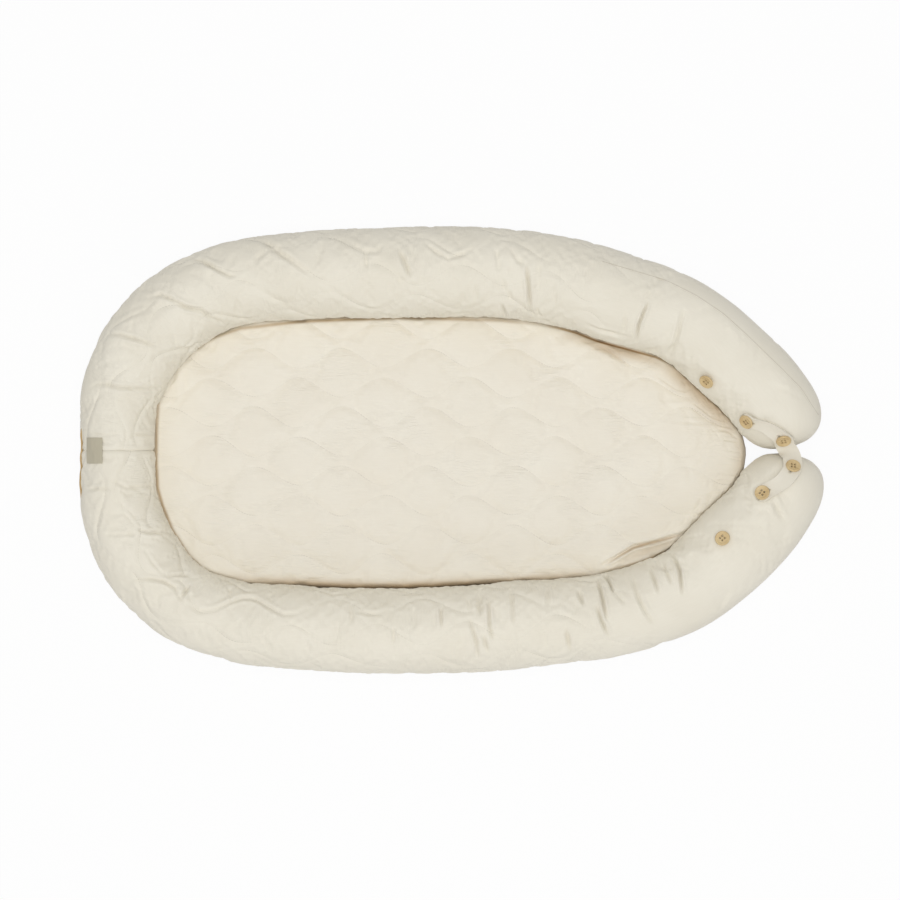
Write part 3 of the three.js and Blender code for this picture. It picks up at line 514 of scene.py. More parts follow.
@dataclass(frozen=True)
class QuiltPattern:
    """The rows of opposed waves that are sewn through the wadding."""

    row_spacing: float = 0.0363
    wave_length: float = 0.106
    wave_height: float = 0.0122
    phase: float = 0.0937

    def distance(self, x: np.ndarray, y: np.ndarray, start: float, phase: float) -> np.ndarray:
        """Distance from points of the cloth to the nearest sewn row.

        Args:
            x: Place along the rows.
            y: Place across the rows.
            start: Where an even row lies.
            phase: Moves the waves along the rows.

        Returns:
            The distance of each point in metres.
        """
        turn, even, odd = self._rows(x, y, start, phase)
        slope = self.wave_height * 2 * np.pi / self.wave_length * np.sin(turn)
        return np.minimum(even, odd) * self.row_spacing / np.sqrt(1 + slope * slope)

    def strength(self, x: np.ndarray, y: np.ndarray, start: float, phase: float, lean: float) -> np.ndarray:
        """How strongly the nearest row draws the cloth in: most at its crests and on one slope.

        Args:
            x: Place along the rows.
            y: Place across the rows.
            start: Where an even row lies.
            phase: Moves the waves along the rows.
            lean: 1 or -1, for the slope that is drawn in most.

        Returns:
            A share from about a third to 1 for each point.
        """
        turn, even, odd = self._rows(x, y, start, phase)
        slope = np.where(even < odd, 1, -1) * np.sin(turn) * lean
        # Two waves of unrelated lengths give patches of weaker and stronger sewing
        patch = np.sin(2 * np.pi * (x / 0.071 + y / 0.118)) * np.sin(2 * np.pi * (x / 0.137 - y / 0.083) + 1)
        return 0.3 + 0.5 * smooth((slope + 0.5) / 0.9) + 0.2 * patch

    def _rows(self, x: np.ndarray, y: np.ndarray, start: float, phase: float) -> tuple[np.ndarray, ...]:
        """Turn of the waves, and how many spacings off the nearest even and odd row are.

        Args:
            x: Place along the rows.
            y: Place across the rows.
            start: Where an even row lies.
            phase: Moves the waves along the rows.

        Returns:
            The turn and both distances.
        """
        turn = 2 * np.pi * (x + phase) / self.wave_length
        row = (y - start) / self.row_spacing
        reach = self.wave_height / self.row_spacing * np.cos(turn)
        even = np.abs((row - reach + 1) % 2 - 1)
        odd = np.abs((row + reach) % 2 - 1)
        return turn, even, odd

    @staticmethod
    def wander(flat: np.ndarray) -> np.ndarray:
        """Lets points of the flat cloth drift a little, as hand-guided rows do.

        Args:
            flat: The points.

        Returns:
            Where they drift to.
        """
        x, y = flat[..., 0], flat[..., 1]
        along = np.sin(2 * np.pi * (x / 0.163 + y / 0.094) + 0.7) * np.sin(2 * np.pi * y / 0.211)
        across = np.sin(2 * np.pi * (x / 0.127 - y / 0.241))
        across = across + 0.6 * np.sin(2 * np.pi * (x / 0.067 + y / 0.15))
        return flat + np.stack([0.0022 * along, 0.0008 * across], axis=-1)


QUILT = QuiltPattern()
MATTRESS_PHASE = 0.081
MATTRESS_ROW_START = 0.0043


@dataclass(frozen=True)
class CottonFinish:
    """Washed cotton, matt and a little uneven."""

    name: str
    pale: Colour
    deep: Colour
    stitched: bool = False
    row_start: float = 0.0
    phase: float = 0.0
    crease: float = 0.0007
    wrinkles: tuple[float, float] = (35.0, 250.0)
    lean: float = 1.0
    # Colours of painted shade, mixed in by the piece's shade attribute: the first up to 1, the second where
    # it passes 1.
    soiled: Colour | None = None
    hemmed: Colour | None = None
    crease_counts: Triple = (60.0, 150.0, 1.0)
    wrinkle_depth: float = 0.0009
    valley_depth: float = 0.0004
    weave_depth: float = 0.00008
    roughness: float = 0.92
    sheen: float = 0.12
    sheen_roughness: float = 0.6
    specular: float = 0.2

    def build(self) -> bpy.types.Material:
        """Builds the cloth's material from its weave, its creases and its sewing.

        Returns:
            The material.
        """
        made = Surface(self.name, from_uv=True)
        weave = made.place(GROUPS["weave"])
        colour = made.ramp(weave.outputs["Variation"], self.deep, self.pale, 0.25, 0.75)
        creases = made.noise(1.0, 5.0, self.crease_counts)
        normal = made.bump(creases, self.crease, 0.4)
        if self.stitched:
            along, across = self.wrinkles
            wrinkles = made.place(GROUPS["crease"], Along=along, Across=across).outputs["Height"]
            normal = made.bump(made.masked(wrinkles, "sewn"), -self.wrinkle_depth, 0.6, normal)
            waves = made.place(GROUPS["stitch"], Start=self.row_start, Phase=self.phase, Lean=self.lean)
            shade = linear(*(round(channel * 0.9) for channel in self.deep))
            thread = made.masked(waves.outputs["Thread"], "sewn")
            valley = made.masked(waves.outputs["Valley"], "sewn")
            colour = made.mix(thread, colour, shade)
            normal = made.bump(valley, -self.valley_depth, 0.6, normal)
        # Painted shade: the shade attribute darkens the cloth towards the first colour, and past 1 towards
        # the second for the darkest gap lines.
        if self.soiled:
            shade = made.attribute("shade")
            colour = made.mix(shade, colour, linear(*self.soiled))
            if self.hemmed:
                colour = made.mix(made.over_one(shade), colour, linear(*self.hemmed))
        normal = made.bump(weave.outputs["Height"], self.weave_depth, 0.5, normal)
        return made.finish(Base_Color=colour, Roughness=self.roughness, Normal=normal,
                           Sheen_Weight=self.sheen, Sheen_Roughness=self.sheen_roughness,
                           Specular_IOR_Level=self.specular)


@dataclass(frozen=True)
class WoodFinish:
    """Turned pale wood with fine grain."""

    name: str
    pale: Colour
    deep: Colour

    def build(self) -> bpy.types.Material:
        """Builds the wood's material.

        Returns:
            The material.
        """
        made = Surface(self.name, from_uv=False)
        grain = made.noise(1.0, 5.0, (160.0, 1400.0, 500.0))
        patches = made.noise(90.0, 2.0, (1.0, 1.0, 1.0))
        colour = made.ramp(grain, self.deep, self.pale, 0.3, 0.72)
        worn = made.ramp(patches, self.deep, self.pale, 0.2, 0.55)
        colour = made.mix(patches, colour, worn)
        normal = made.bump(grain, 0.0001, 0.5)
        return made.finish(Base_Color=colour, Roughness=0.5, Normal=normal, Specular_IOR_Level=0.35)


@dataclass(frozen=True)
class ThreadFinish:
    """Twisted sewing thread."""

    name: str
    pale: Colour
    deep: Colour

    def build(self) -> bpy.types.Material:
        """Builds the thread's material.

        Returns:
            The material.
        """
        made = Surface(self.name, from_uv=False)
        twist = made.noise(1.0, 3.0, (2500.0, 2500.0, 900.0))
        colour = made.ramp(twist, self.deep, self.pale, 0.3, 0.7)
        return made.finish(Base_Color=colour, Roughness=0.8, Normal=made.bump(twist, 0.0001, 0.6))


@dataclass(frozen=True)
class MetalFinish:
    """Die-cast metal, a little worn."""

    name: str
    pale: Colour
    deep: Colour

    def build(self) -> bpy.types.Material:
        """Builds the metal's material.

        Returns:
            The material.
        """
        made = Surface(self.name, from_uv=False)
        wear = made.noise(500.0, 3.0, (1.0, 1.0, 1.0))
        colour = made.ramp(wear, self.deep, self.pale, 0.3, 0.7)
        return made.finish(Base_Color=colour, Roughness=0.38, Normal=made.bump(wear, 0.00005, 0.4),
                           Metallic=1.0)


GROUPS: dict[str, bpy.types.NodeTree] = {}
FINISHES: dict[str, bpy.types.Material] = {}


def build_finishes() -> None:
    """Makes the shared groups and every material once."""
    GROUPS["weave"] = weave_group()
    GROUPS["stitch"] = stitch_group()
    GROUPS["crease"] = crease_group()
    cream, cream_deep = (236, 231, 217), (228, 222, 206)
    plain, plain_deep = (231, 226, 214), (223, 217, 203)
    made = [
        # The mattress cotton paints shade in tan and brown along its gaps and side; the bolster cottons paint
        # grey-tan shade in the bottoms of their folds.
        CottonFinish("mattress_cotton", (238, 233, 220), (232, 225, 210), stitched=True,
                     row_start=MATTRESS_ROW_START, phase=MATTRESS_PHASE, crease=0.0005,
                     soiled=(188, 165, 132), hemmed=(128, 93, 54)),
        *(CottonFinish(f"{side.label}_bolster_cotton", cream, cream_deep, stitched=True,
                       phase=ROW_PHASES[side], crease=0.0005, wrinkles=(230.0, 40.0),
                       lean=float(side.value), soiled=(140, 131, 108)) for side in Side),
        CottonFinish("plain_cotton", plain, plain_deep),
        CottonFinish("strap_cotton", (232, 227, 213), (224, 217, 201), crease=0.0003),
        CottonFinish("piping_cotton", (214, 208, 194), (204, 197, 181), crease=0.0002),
        CottonFinish("base_cotton", (222, 208, 182), (208, 192, 163)),
        CottonFinish("label_tape", (194, 187, 167), (182, 175, 154), crease=0.0001),
        CottonFinish("fibre_filling", (246, 244, 238), (236, 233, 224), crease=0.003),
        CottonFinish("mattress_foam", (240, 234, 214), (232, 224, 200), crease=0.0004),
        CottonFinish("zip_cotton", (198, 172, 128), (176, 148, 104), crease=0.0001),
        WoodFinish("button_wood", (217, 195, 150), (184, 154, 106)),
        ThreadFinish("button_thread", (206, 186, 146), (170, 146, 106)),
        ThreadFinish("strap_thread", (212, 203, 182), (190, 180, 156)),
        ThreadFinish("zip_teeth", (190, 166, 128), (160, 134, 96)),
        MetalFinish("slider_metal", (190, 188, 182), (150, 148, 142)),
    ]
    for finish in made:
        FINISHES[finish.name] = finish.build()


# The bolster's line, repeated from the solids


@dataclass(frozen=True)
class LoungerSize:
    """Driving sizes of the lounger, in metres."""

    length: float = 0.900
    width: float = 0.545
    tube_width: float = 0.108
    tube_height: float = 0.106
    floor_cut: float = 0.005
    head_width_share: float = 0.86
    head_straight: float = 0.100
    dome_length: float = 0.046
    dome_power: float = 2.3
    arm_root_share: float = 0.655
    origin_shift: tuple[float, float] = (0.0001095, -0.0007028)

    @property
    def head_reach(self) -> float:
        """How far the head's middle line lies from the lounger's middle."""
        return (self.length - self.tube_width * self.head_width_share) / 2

    @property
    def side_reach(self) -> float:
        """How far a side's middle line lies from the lounger's middle at most."""
        return (self.width - self.tube_width) / 2


SIZE = LoungerSize()

# Along the tube: the length, how far the waves slip there, and how far out from the top a sewn row lies
ROW_DRIFTS = {
    Side.LEFT: (
        (0.000, 0.000, 0.031),
        (0.204, 0.000, 0.031),
        (0.257, 0.000, 0.026),
        (0.307, 0.000, 0.017),
        (0.361, 0.000, 0.003),
        (0.417, 0.000, -0.006),
        (0.516, 0.000, -0.009),
    ),
    Side.RIGHT: (
        (0.000, -0.013, -0.015),
        (0.160, -0.013, -0.015),
        (0.235, 0.000, -0.016),
        (0.297, 0.000, -0.028),
        (0.350, 0.000, -0.031),
        (0.450, 0.000, -0.036),
    ),
}
ROW_PHASES = {Side.LEFT: 0.087, Side.RIGHT: 0.074}

LINE_SHARES = {
    Side.LEFT: (
        (-1, 0.229, 0.87),
        (-0.931, 0.581, 0.93),
        (-0.814, 0.796, 0.95),
        (-0.658, 0.929, 0.94),
        (-0.446, 0.977, 0.98),
        (-0.149, 0.995, 1.01),
        (0.149, 0.991, 1),
        (0.324, 0.95, 1),
        (0.495, 0.86, 1),
        (0.7, 0.723, 0.94),
        (0.854, 0.499, 0.95),
        (0.953, 0.311, 0.94),
        (0.998, 0.183, 0.93),
        (1.022, 0.018, 0.92),
    ),
    Side.RIGHT: (
        (-1, 0.229, 0.87),
        (-0.936, 0.6, 0.91),
        (-0.817, 0.833, 0.88),
        (-0.649, 0.952, 0.9),
        (-0.446, 0.986, 0.95),
        (-0.149, 1.002, 0.97),
        (0.149, 0.979, 0.99),
        (0.324, 0.952, 0.95),
        (0.5, 0.911, 0.94),
        (0.708, 0.769, 0.93),
        (0.872, 0.51, 0.98),
        (0.965, 0.32, 0.95),
        (1.005, 0.19, 0.93),
        (1.022, 0.018, 0.92),
    ),
}
LINE_STEPS = 14
TANGENT_REACH = 0.012


class TubeLine:
    """The middle line of one half of the bolster, from the head seam to the arm's end."""

    def __init__(self, side: Side) -> None:
        """Lays the line through its points.

        Args:
            side: Which half it is.
        """
        self.side = side
        points = np.array([
            (along * SIZE.head_reach, side.value * across * SIZE.side_reach, width * SIZE.tube_width)
            for along, across, width in LINE_SHARES[side]
        ])
        points[0, 1] = side.value * SIZE.head_straight / 2
        head = np.array([(-SIZE.head_reach, 0.0, SIZE.head_width_share * SIZE.tube_width)])
        self.samples = np.vstack([head, self._bend(points)])
        self.samples[:, 0] += SIZE.origin_shift[0]
        self.samples[:, 1] += SIZE.origin_shift[1]
        steps = np.hypot(np.diff(self.samples[:, 0]), np.diff(self.samples[:, 1]))
        self.lengths = np.concatenate([[0.0], np.cumsum(steps)])
        self.length = float(self.lengths[-1])
        root_x = SIZE.arm_root_share * SIZE.head_reach + SIZE.origin_shift[0]
        self.arm_start = float(np.interp(root_x, self.samples[1:, 0], self.lengths[1:]))

    def _bend(self, points: np.ndarray) -> np.ndarray:
        """Lays a smooth curve through the points, with their widths.

        Args:
            points: Place and width of each point of the line.

        Returns:
            Place and width of each point of the curve.
        """
        gaps = np.hypot(np.diff(points[:, 0]), np.diff(points[:, 1]))
        slopes = np.diff(points, axis=0) / gaps[:, None]
        directions = [np.array([0.0, self.side.value, 0.0])]
        for i in range(1, len(points) - 1):
            total = gaps[i - 1] + gaps[i]
            directions.append((slopes[i - 1] * gaps[i] + slopes[i] * gaps[i - 1]) / total)
        directions.append(slopes[-1])
        found = []
        for i, gap in enumerate(gaps):
            for step in range(LINE_STEPS):
                t = step / LINE_STEPS
                rest = 1 - t
                place = points[i] * rest * rest * (1 + 2 * t) + directions[i] * gap * t * rest * rest
                place = place + points[i + 1] * t * t * (1 + 2 * rest)
                found.append(place - directions[i + 1] * gap * t * t * rest)
        found.append(points[-1])
        return np.array(found)

    def middle(self, length: np.ndarray) -> tuple[np.ndarray, np.ndarray]:
        """Places of the line and the tube's widths there.

        Args:
            length: Lengths along the line.

        Returns:
            The x, y places and the widths.
        """
        x = np.interp(length, self.lengths, self.samples[:, 0])
        y = np.interp(length, self.lengths, self.samples[:, 1])
        width = np.interp(length, self.lengths, self.samples[:, 2])
        return np.stack([x, y], axis=-1), width

    def ahead(self, length: np.ndarray) -> np.ndarray:
        """Direction of the line, averaged over a short reach.

        Args:
            length: Lengths along the line.

        Returns:
            The directions.
        """
        before, _ = self.middle(np.maximum(np.asarray(length) - TANGENT_REACH, 0))
        after, _ = self.middle(np.minimum(np.asarray(length) + TANGENT_REACH, self.length))
        step = after - before
        return step / np.linalg.norm(step, axis=-1, keepdims=True)

    def outward(self, length: np.ndarray) -> np.ndarray:
        """Level direction away from the lounger's middle."""
        ahead = self.ahead(length)
        return np.stack([-ahead[..., 1], ahead[..., 0]], axis=-1) * self.side.value

    def taper(self, length: np.ndarray) -> np.ndarray:
        """Share of the tube's section that is left in the rounded end."""
        into = np.clip((length - (self.length - SIZE.dome_length)) / SIZE.dome_length, 0, 1)
        return np.maximum(0, 1 - into ** SIZE.dome_power) ** (1 / SIZE.dome_power)

    def surface(self, length: np.ndarray, angle: np.ndarray, inset: float = 0.0) -> np.ndarray:
        """Points of the tube's surface. The angle is 0 outwards and a quarter turn at the top.

        Args:
            length: Lengths along the line.
            angle: Angles round the tube.
            inset: Depth below the surface.

        Returns:
            The points, one row each.
        """
        length, angle = np.broadcast_arrays(np.asarray(length, float), np.asarray(angle, float))
        taper = self.taper(length)
        place, width = self.middle(length)
        height = SIZE.tube_height * (1 + width / SIZE.tube_width) / 2
        half_height = (height + SIZE.floor_cut) / 2
        across = (width / 2 - inset) * taper * np.cos(angle)
        rise = (half_height - inset) * taper * np.sin(angle)
        flat = place + self.outward(length) * across[..., None]
        z = np.maximum(inset, half_height - SIZE.floor_cut + rise)
        return np.concatenate([flat, z[..., None]], axis=-1)

    def radial(self, length: np.ndarray, angle: np.ndarray) -> np.ndarray:
        """Direction out of the surface at each place.

        Args:
            length: Lengths along the tube's line.
            angle: Angles round the tube.

        Returns:
            The directions.
        """
        outward = self.outward(length)
        taper = self.taper(length)[..., None]
        flat = outward * np.cos(angle)[..., None] * taper + self.ahead(length) * (1 - taper)
        found = np.concatenate([flat, (np.sin(angle) * self.taper(length))[..., None]], axis=-1)
        return found / np.maximum(np.linalg.norm(found, axis=-1, keepdims=True), 1e-6)

    def cloth_place(self, length: np.ndarray, angle: np.ndarray) -> np.ndarray:
        """Where a point of the surface lay on the flat cloth, whose sewn rows run along the tube.

        Args:
            length: Lengths along the tube's line.
            angle: Angles round the tube.

        Returns:
            The places along and across the rows.
        """
        _, width = self.middle(length)
        across = (width + SIZE.tube_height) / 4 * (np.pi / 2 - angle)
        drift = ROW_DRIFTS[self.side]
        marks = [mark for mark, _, _ in drift]
        along = length + np.interp(length, marks, [slip for _, slip, _ in drift])
        middle = np.interp(length, marks, [row for _, _, row in drift])
        return QUILT.wander(np.stack([along, across - middle], axis=-1))

    def seat(self, length: float, angle: float) -> "Seat":
        """Place and directions of a piece that lies on the surface.

        Args:
            length: Length along the line.
            angle: Angle round the tube.

        Returns:
            The seat there.
        """
        small = math.radians(5)
        reach = 0.002
        inner = self.surface(length - reach, angle)
        outer = self.surface(min(length + reach, self.length), angle)
        low = self.surface(length, angle - small)
        high = self.surface(length, angle + small)
        along = Vector(outer - inner).normalized()
        turn = Vector(high - low).normalized()
        out = turn.cross(along) * self.side.value
        return Seat(Vector(self.surface(length, angle)), along, out.normalized())


@dataclass(frozen=True)
class Seat:
    """A place on the cloth, with the direction along the arm and the one out of the cloth."""

    place: Vector
    along: Vector
    out: Vector

    def matrix(self, lift: float) -> Matrix:
        """Turns a piece that was built on the ground onto the seat.

        Args:
            lift: Height over the cloth.

        Returns:
            The piece's new place and turn.
        """
        across = self.out.cross(self.along).normalized()
        along = across.cross(self.out)
        turn = Matrix((along, across, self.out)).transposed().to_4x4()
        return Matrix.Translation(self.place + self.out * lift) @ turn


class Sight:
    """The camera's place over the lounger, which gives the photograph's pixels of a point."""

    height = 2.3
    reference_distance = 2.25
    pixel = 0.001221
    middle_pixel = 449.5
    frame_pixels = 900
    sensor = 0.036

    @classmethod
    def pixels(cls, points: np.ndarray) -> np.ndarray:
        """Pixels of the photograph in which the points are seen.

        Args:
            points: The points, in metres.

        Returns:
            Their pixels, across and down.
        """
        scale = cls.reference_distance / (cls.pixel * (cls.height - points[..., 2]))
        across = cls.middle_pixel + points[..., 0] * scale
        down = cls.middle_pixel - points[..., 1] * scale
        return np.stack([across, down], axis=-1)

    @classmethod
    def ray(cls, across: float, down: float) -> tuple[Vector, Vector]:
        """Gives the line of sight through a pixel.

        Args:
            across: Pixels from the left of the frame.
            down: Pixels from the top of the frame.

        Returns:
            Where the line starts and its direction.
        """
        x = (across - cls.middle_pixel) * cls.pixel
        y = (cls.middle_pixel - down) * cls.pixel
        return Vector((0, 0, cls.height)), Vector((x, y, -cls.reference_distance)).normalized()

    @classmethod
    def lens(cls) -> float:
        """Focal length in millimetres that frames the photograph."""
        return cls.sensor * cls.reference_distance / (cls.frame_pixels * cls.pixel) * 1000


FADE_REACH = 0.01
FADE_POWER = 0.6
# Painted shade in the bottoms of deep folds: how dark at most, the depth where it starts, the span of depth
# to full strength, and its width.
FOLD_DARKEST = 0.52
FOLD_DARK_DEPTH = 0.0011
FOLD_DARK_SPAN = 0.0018
FOLD_DARK_WIDTH = 0.0011
CREST_PLACE = 2.1


def along_line(line: PixelLine, pixels: np.ndarray) -> tuple[np.ndarray, np.ndarray]:
    """Distance of points from a line in the photograph, and how near its middle they are.

    Args:
        line: The line's corners, in pixels.
        pixels: Where the points are seen in the photograph.

    Returns:
        The distance in metres, and a share that fades towards the line's ends.
    """
    corners = np.array(line, float)
    steps = np.hypot(*np.diff(corners, axis=0).T)
    starts = np.concatenate([[0.0], np.cumsum(steps)])
    best = np.full(pixels.shape[:-1], FAR)
    share = np.zeros(pixels.shape[:-1])
    for i, step in enumerate(steps):
        side = corners[i + 1] - corners[i]
        t = np.clip(((pixels - corners[i]) @ side) / (step * step), 0, 1)
        gap = np.linalg.norm(pixels - (corners[i] + t[..., None] * side), axis=-1)
        closer = gap < best
        best = np.where(closer, gap, best)
        share = np.where(closer, (starts[i] + t * step) / starts[-1], share)
    ends = np.sin(np.pi * np.clip(share, FADE_REACH, 1 - FADE_REACH)) ** FADE_POWER
    return best * Sight.pixel, ends


@dataclass(frozen=True)
class Fold:
    """A fold in the cloth, along a line read off the photograph in its pixels."""

    line: PixelLine
    depth: float
    width: float
    lip: float = 0.5

    def press(self, pixels: np.ndarray) -> np.ndarray:
        """How far the fold moves each point out of the surface, below zero in the valley.

        Args:
            pixels: Where the points are seen in the photograph.

        Returns:
            The move of each point.
        """
        distance, ends = along_line(self.line, pixels)
        valley = -self.depth * bell(distance, self.width)
        crest = self.lip * self.depth * bell(distance - CREST_PLACE * self.width, self.width)
        return (valley + crest) * ends

    def shade(self, pixels: np.ndarray) -> np.ndarray:
        """How much painted shade darkens the cloth in the fold's bottom, from 0 to 1.

        Args:
            pixels: Where the points are seen in the photograph.

        Returns:
            The share for each point.
        """
        distance, ends = along_line(self.line, pixels)
        strength = FOLD_DARKEST * min(max((self.depth - FOLD_DARK_DEPTH) / FOLD_DARK_SPAN, 0.0), 1.0)
        return strength * ends * bell(distance, FOLD_DARK_WIDTH)


@dataclass(frozen=True)
class Hem:
    """A band of painted shade on the cloth, along a line read off the photograph in its pixels."""

    line: PixelLine
    width: float
    strength: float

    def shade(self, pixels: np.ndarray) -> np.ndarray:
        """How dark the painted shade is at each point: tan at 1 and brown at 2."""
        distance, ends = along_line(self.line, pixels)
        return self.strength * ends * bell(distance, self.width)


# Cloth grids

MERGE_DISTANCE = 1e-6


@dataclass
class ClothGrid:
    """A grid of points that becomes a closed cloth skin, with its place on the flat cloth."""

    points: np.ndarray
    flat: np.ndarray
    sewn: np.ndarray
    # Painted shade of each point, which the cloth's finish turns into darker colour.
    shade: np.ndarray | None = None

    def every_second(self) -> "ClothGrid":
        """The same skin with half the rows and columns."""
        return ClothGrid(self.points[::2, ::2], self.flat[::2, ::2], self.sewn[::2, ::2])

    def to_bmesh(self) -> bmesh.types.BMesh:
        """Lays a grid operator's mesh over the points and closes its seams and poles.

        Returns:
            The mesh, with the row and column of each point.
        """
        rows, cols = self.points.shape[:2]
        bm = bmesh.new()
        bmesh.ops.create_grid(bm, x_segments=rows - 1, y_segments=cols - 1, size=0.5)
        row_of = bm.verts.layers.int.new("row")
        col_of = bm.verts.layers.int.new("col")
        sewn_of = bm.verts.layers.float.new("sewn")
        shade = np.zeros((rows, cols)) if self.shade is None else self.shade
        shade_of = bm.verts.layers.float.new("shade")
        for vert in bm.verts:
            i = round((vert.co.x + 0.5) * (rows - 1))
            j = round((vert.co.y + 0.5) * (cols - 1))
            vert[row_of] = i
            vert[col_of] = j
            vert[sewn_of] = float(self.sewn[i, j])
            vert[shade_of] = float(shade[i, j])
            vert.co = self.points[i, j]
        layer = bm.loops.layers.uv.new("cloth")
        for face in bm.faces:
            for loop in face.loops:
                loop[layer].uv = self.flat[loop.vert[row_of], loop.vert[col_of]]
        bmesh.ops.remove_doubles(bm, verts=bm.verts[:], dist=MERGE_DISTANCE)
        bmesh.ops.recalc_face_normals(bm, faces=bm.faces[:])
        return bm

    def to_piece(self, name: str) -> Piece:
        """Makes the finished piece."""
        return finish_cloth(name, self.to_bmesh())


@dataclass(frozen=True)
class Filling:
    """How the filling presses a cloth skin outwards, and how much the cloth is gathered."""

    pressure: float = 4.0
    growth: float = 0.01
    cap: float = 0.0022
    bending: float = 0.2
    stiffness: float = 12.0
    frames: int = 20
    quality: int = 5
    point_mass: float = 0.15

    def swell(self, grid: ClothGrid, pins: np.ndarray, press: np.ndarray) -> np.ndarray:
        """Fills the skin by cloth simulation.

        Args:
            grid: The skin before it is filled.
            pins: From 0, free, to 1, sewn fast, for each point.
            press: Share of the pressure on each point.

        Returns:
            How far each point of the grid moves.
        """
        moved = np.zeros_like(grid.points)
        bm = grid.to_bmesh()
        rows = np.array([v[bm.verts.layers.int["row"]] for v in bm.verts])
        cols = np.array([v[bm.verts.layers.int["col"]] for v in bm.verts])
        piece = finish_mesh("filled_skin", bm)
        self._add_group(piece, "sewn_fast", pins[rows, cols])
        self._add_group(piece, "pressed", press[rows, cols])
        self._add_cloth(piece)
        scene = bpy.context.scene
        scene.frame_start = 1
        scene.frame_end = self.frames
        for number in range(1, self.frames + 1):
            scene.frame_set(number)
        solved = piece.evaluated_get(bpy.context.evaluated_depsgraph_get())
        after = np.empty(len(piece.data.vertices) * 3)
        solved.data.vertices.foreach_get("co", after)
        before = np.empty_like(after)
        piece.data.vertices.foreach_get("co", before)
        step = (after - before).reshape(-1, 3)
        reach = np.linalg.norm(step, axis=1, keepdims=True)
        step *= np.minimum(1, self.cap / np.maximum(reach, 1e-9))
        moved[rows, cols] = step
        self._share_edges(moved, rows, cols)
        scene.frame_set(1)
        mesh = piece.data
        bpy.data.objects.remove(piece)
        bpy.data.meshes.remove(mesh)
        LOG.info("filled a skin of %d points, moved by up to %.1f mm", len(rows), reach.max() * 1000)
        return moved

    @staticmethod
    def _add_group(piece: Piece, name: str, weights: np.ndarray) -> None:
        """Gives the piece a vertex group with these weights.

        Args:
            piece: The piece.
            name: The group's name.
            weights: A weight for each point.
        """
        group = piece.vertex_groups.new(name=name)
        for index, weight in enumerate(weights):
            group.add([index], float(weight), "REPLACE")

    def _add_cloth(self, piece: Piece) -> None:
        """Sets up the cloth with its pressure and its sewn places.

        Args:
            piece: The skin that is filled.
        """
        cloth = piece.modifiers.new("filling", "CLOTH")
        settings = cloth.settings
        settings.quality = self.quality
        settings.mass = self.point_mass
        settings.tension_stiffness = self.stiffness
        settings.compression_stiffness = self.stiffness
        settings.shear_stiffness = self.stiffness / 3
        settings.bending_stiffness = self.bending
        settings.vertex_group_mass = "sewn_fast"
        settings.use_pressure = True
        settings.uniform_pressure_force = self.pressure
        settings.vertex_group_pressure = "pressed"
        settings.shrink_min = -self.growth
        settings.effector_weights.gravity = 0
        cloth.collision_settings.use_collision = False
        cloth.point_cache.frame_start = 1
        cloth.point_cache.frame_end = self.frames

    @staticmethod
    def _share_edges(moved: np.ndarray, rows: np.ndarray, cols: np.ndarray) -> None:
        """Copies the movement of merged points to every grid place that they stand for.

        Args:
            moved: How far each point of the grid moves.
            rows: Rows of the points that are known.
            cols: Their columns.
        """
        known = np.zeros(moved.shape[:2], bool)
        known[rows, cols] = True
        last = moved.shape[1] - 1
        for here, there in ((0, last), (last, 0)):
            empty = ~known[:, here] & known[:, there]
            moved[empty, here] = moved[empty, there]


def finer_rows(values: np.ndarray, closed: bool) -> np.ndarray:
    """Doubles the rows of a field by a cubic through each four neighbours.

    Args:
        values: The field on the coarse rows.
        closed: True where the last row is the first one again.

    Returns:
        The field with a new row between each two.
    """
    before = values[-2:-1] if closed else values[:1]
    after = values[1:2] if closed else values[-1:]
    padded = np.concatenate([before, values, after])
    found = np.empty((2 * len(values) - 1, *values.shape[1:]))
    found[::2] = values
    found[1::2] = (9 * (padded[1:-2] + padded[2:-1]) - padded[:-3] - padded[3:]) / 16
    return found


def four_times_finer(moved: np.ndarray) -> np.ndarray:
    """Gives a field four times the rows and columns; its columns close on themselves.

    Args:
        moved: The field.

    Returns:
        The finer field.
    """
    for _ in range(2):
        rows = finer_rows(moved, closed=False)
        moved = np.swapaxes(finer_rows(np.swapaxes(rows, 0, 1), closed=True), 0, 1)
    return moved


# How fast the sewn rows hold the cloth, how wide their pull and their thread are, and where the head's
# rows end
ROW_HOLD = 0.5
ROW_HOLD_WIDTH = 0.0045
ROW_PULL_POWER = 1.5
THREAD_WIDTH = 0.0018
HEAD_ROWS_END = -0.30
HEAD_ROWS_FADE = 0.16


